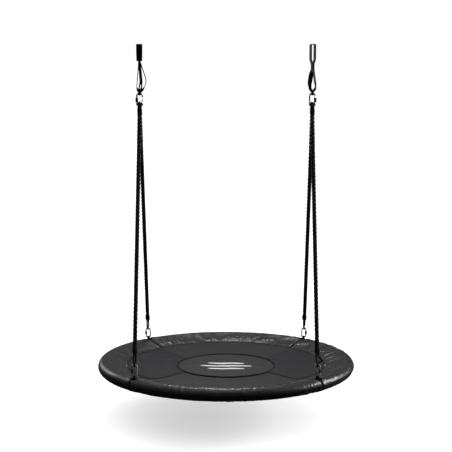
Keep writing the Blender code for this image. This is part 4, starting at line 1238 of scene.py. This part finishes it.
def build_sleeve(place):
    """One cloth sleeve from tab to tab, hemmed at its ends and open over the tabs."""
    start, end = span_angles(place)
    out, up = PROFILE[:, 0][None, :], PROFILE[:, 1][None, :]
    notch = np.sqrt(np.clip(NOTCH_R**2 - out**2, 0.0, None)) * smooth_step((up - 13.0 * MM) / (3.0 * MM))
    edge = np.maximum(TAB_SLEEVE_GAP, notch) / TUBE_RING_R
    rows = int((end - start) * TUBE_RING_R / SLEEVE_STEP)
    share = np.linspace(0.0, 1.0, rows)[:, None]
    angles = start + edge + (end - start - 2 * edge) * share
    u = angles * TUBE_RING_R
    v = np.broadcast_to(PROFILE_STEPS[None, :], u.shape)
    from_start = (angles - start) * TUBE_RING_R
    from_end = (end - angles) * TUBE_RING_R
    height = wrinkle_height(place, u, v, from_start, from_end)
    hem = np.minimum(from_start, from_end) - edge * TUBE_RING_R
    height = height * smooth_step((hem - 1.0 * MM) / (12.0 * MM))
    height = height + 0.8 * MM * (1.0 - smooth_step((hem - 9.0 * MM) / (1.6 * MM)))
    # The cloth stays out of the foam, and the flat band's two layers stay apart.
    over_foam = np.hypot(out, up) < SLEEVE_R + 0.5 * MM
    height = np.where(over_foam, np.maximum(height, -1.7 * MM), np.maximum(height, -5.0 * MM))
    height = np.minimum(height, 5.5 * MM)
    normal_out, normal_up = PROFILE_OUT[:, 0][None, :], PROFILE_OUT[:, 1][None, :]
    grid = ring_points(angles, out + normal_out * height, up + normal_up * height)
    shape = Shape()
    shape.add(grid, wrap_columns=False)
    sleeve = shape.make(f"sleeve_cloth_{place}", [RIM_CLOTH, RIM_CLOTH])
    thicken = sleeve.modifiers.new("cloth", "SOLIDIFY")
    thicken.thickness = SLEEVE_CLOTH
    thicken.offset = -1.0
    stand_for(sleeve, "rim_cloth", "rim_sleeve_" + place)
    shape = Shape()
    for row_from, sign in ((0, 1), (rows - 1, -1)):
        row = row_from + sign * 2
        line = grid[row, 3:-3]
        ups = np.stack([
            np.cos(angles[row, 3:-3]) * PROFILE_OUT[3:-3, 0],
            np.sin(angles[row, 3:-3]) * PROFILE_OUT[3:-3, 0],
            PROFILE_OUT[3:-3, 1],
        ], axis=-1)
        add_stitches(shape, line, ups, pitch=5.0 * MM, radius=0.45 * MM)
    go_with(shape.make(f"sleeve_stitches_{place}", [THREAD]), "rim_sleeve_" + place)


for place in SPANS:
    build_foam(place)
    build_sleeve(place)


# ---------------------------------------------------------------- seat cloth
def cloth_height(radius):
    """Top of the seat cloth above the rim's mid-plane."""
    return -SEAM_DROP + MAT_THICK / 2 - MAT_SAG * (1.0 - (radius / MAT_R) ** 2)


def cloth_ripple(x, y):
    """Low waves in the stretched cloth. They die out at the seam and lie along its pull."""
    radius = np.hypot(x, y)
    fade = smooth_step((MAT_R - radius) / 0.05)
    pull = lattice_noise(x * 5.0, y * 11.0, 71) * 0.9
    pull = pull + lattice_noise(x * 14.0 + y * 6.0, y * 22.0, 72) * 0.35
    return fade * pull * 0.9 * MM


def disc_grid(radii, lift):
    """A dished disc as rings of points, from its middle outwards."""
    turns = math.tau * np.arange(240) / 240
    radii = np.array(radii)[:, None]
    x, y = radii * np.cos(turns)[None, :], radii * np.sin(turns)[None, :]
    z = RIM_Z + cloth_height(radii) + cloth_ripple(x, y) + lift
    return np.stack([x, y, z + 0 * x], axis=-1)


def layered_disc(name, radii, lift, thick, material):
    """Cloth of this thickness: the top skin, a rolled edge and the under skin."""
    top = disc_grid(radii, lift)
    foot = disc_grid(radii, lift - thick)
    edge = (top[-1:] + foot[-1:]) / 2
    edge[..., :2] *= 1.0 + 0.3 * thick / radii[-1]
    shape = Shape()
    shape.add(np.concatenate([top, edge, foot[::-1]]))
    return shape.make(name, [material])


MAT_EDGE = MAT_R * RING_MEAN - 0.8 * MM
mat = layered_disc("seat_cloth_disc", np.linspace(0.002, MAT_EDGE, 110), 0.0, MAT_THICK, SEAT_CLOTH)
stand_for(mat, "seat_cloth", "seat_mat")

TOP_LAYER = PANEL_LIFT + PANEL_THICK
centre = layered_disc(
    "centre_cloth_disc",
    np.linspace(0.002, PANEL_EDGE * RING_MEAN, 70),
    TOP_LAYER,
    PANEL_THICK,
    CENTRE_CLOTH,
)
stand_for(centre, "panel_cloth", "centre_panel")


def ring_on_cloth(radius, lift, count=240):
    turns = math.tau * np.arange(count) / count
    x, y = radius * np.cos(turns), radius * np.sin(turns)
    return np.stack([x, y, RIM_Z + cloth_height(radius) + cloth_ripple(x, y) + lift], axis=-1)


piping_line = ring_on_cloth(PIPING_RING_R * RING_MEAN, PANEL_LIFT + PIPING_R - 0.3 * MM)
normals, along = carried_normals(piping_line, Z_AXIS, True)
shape = Shape()
shape.add(tube_grid(piping_line, PIPING_R, 12, normals, along), wrap_rows=True)
piping = stand_for(shape.make("piping_cord_centre", [EDGE_TAPE]), "twine", "centre_piping")


def panel_grid(side, lift, rows=44, columns=110):
    """The points of a side panel's skin, from its inner edge to its outer."""
    share = np.linspace(0.0, 1.0, rows)[:, None]
    half_angle = PANEL_INNER_ANGLE + (PANEL_CORNER_ANGLE - PANEL_INNER_ANGLE) * smooth_step(share * 1.3)
    across = np.linspace(-1.0, 1.0, columns)[None, :]
    round_off = 1.0 - 0.05 * np.abs(across) ** 8
    inner = PANEL_INNER_R + 0.6 * MM
    radius = inner + (PANEL_OUTER_R * round_off - inner) * share
    angle = across * half_angle
    x, y = side * radius * np.cos(angle), radius * np.sin(angle)
    puff = smooth_step(np.minimum(share, 1 - share) * 12.0) * smooth_step((1 - np.abs(across)) * 12.0)
    z = RIM_Z + cloth_height(radius) + cloth_ripple(x, y) + lift + 0.5 * MM * puff
    return np.stack([x, y, z], axis=-1)


def border_of(grid):
    """The four edges of a grid as one closed line."""
    return np.concatenate([grid[0, :-1], grid[:-1, -1], grid[-1, :0:-1], grid[:0:-1, 0]])


def build_side_panel(side_name, side):
    grid = panel_grid(side, TOP_LAYER)
    foot = panel_grid(side, PANEL_LIFT)
    shape = Shape()
    shape.add(grid, wrap_columns=False, flip=side > 0)
    shape.add(foot, wrap_columns=False, flip=side < 0)
    rim, low = border_of(grid), border_of(foot)
    shape.add(np.stack([rim, low]), flip=side > 0)
    panel = shape.make(f"side_cloth_{side_name}", [SIDE_CLOTH])
    stand_for(panel, "side_cloth", "side_panel_" + side_name)
    build_panel_edge(side_name, grid)


def build_panel_edge(side_name, grid):
    """The bound edge of a side panel, and the stitches just inside it."""
    line = softened(resampled(border_of(grid), 2.5 * MM, closed=True), 3, closed=True)
    line[:, 2] -= 0.2 * MM
    normals, along = carried_normals(line, Z_AXIS, True)
    tape = tube_grid(line, 1.0, 8, normals, along)
    tape = line[:, None, :] + (tape - line[:, None, :]) * np.array([1.9 * MM, 1.9 * MM, 0.9 * MM])
    shape = Shape()
    shape.add(tape, wrap_rows=True)
    inside = grid[3:-3, 4:-4]
    add_stitches(shape, border_of(inside) + Z_AXIS * 0.1 * MM, Z_AXIS, slot=1, closed=True)
    edge = shape.make(f"side_binding_{side_name}", [EDGE_TAPE, THREAD])
    return go_with(edge, "side_panel_" + side_name)


for side_name, side in SIDES.items():
    build_side_panel(side_name, side)

shape = Shape()
for radius, lift in ((MAT_EDGE - 5.0 * MM, 0.1 * MM), (MAT_EDGE - 10.0 * MM, 0.1 * MM)):
    add_stitches(shape, ring_on_cloth(radius, lift, 600), Z_AXIS, closed=True)
add_stitches(shape, ring_on_cloth(PANEL_EDGE - 6.0 * MM, TOP_LAYER + 0.1 * MM, 400), Z_AXIS, closed=True)
seams = go_with(shape.make("seat_stitches", [THREAD]), "seat_mat")


# ---------------------------------------------------------------- a plain printed mark of three waves
MARK_LIFT = TOP_LAYER + 0.25 * MM


def wave_bar(shape, middle_y, half_long, half_wide, swell):
    """A long leaf-shaped bar that follows the panel's surface."""
    along = np.linspace(-1.0, 1.0, 60)[:, None]
    across = np.linspace(-1.0, 1.0, 5)[None, :]
    wide = half_wide * np.sqrt(np.clip(1.0 - np.abs(along) ** 3, 0.0, 1.0)) + 0.2 * MM
    x = along * half_long + 0 * across
    y = middle_y + swell * np.sin(math.pi * along * 1.5) + wide * across
    z = RIM_Z + cloth_height(np.hypot(x, y)) + cloth_ripple(x, y) + MARK_LIFT
    shape.add(np.stack([x, y, z], axis=-1), wrap_columns=False, flip=True)


shape = Shape()
for middle_y, half_long in ((0.047, 0.080), (0.0, 0.112), (-0.047, 0.080)):
    wave_bar(shape, middle_y, half_long, 0.0095, 0.0025)
mark = shape.make("printed_waves", [PRINT])
thicken = mark.modifiers.new("ink", "SOLIDIFY")
thicken.thickness = 0.15 * MM
go_with(mark, "centre_panel")

# ---------------------------------------------------------------- CAD pieces that keep their shapes
for name, node in frame["nodes"].items():
    if node.hide_render:
        continue
    material = DARK_STEEL if name.startswith("tube_coupler") else BRIGHT_STEEL
    for index in range(len(node.material_slots)):
        node.material_slots[index].material = material
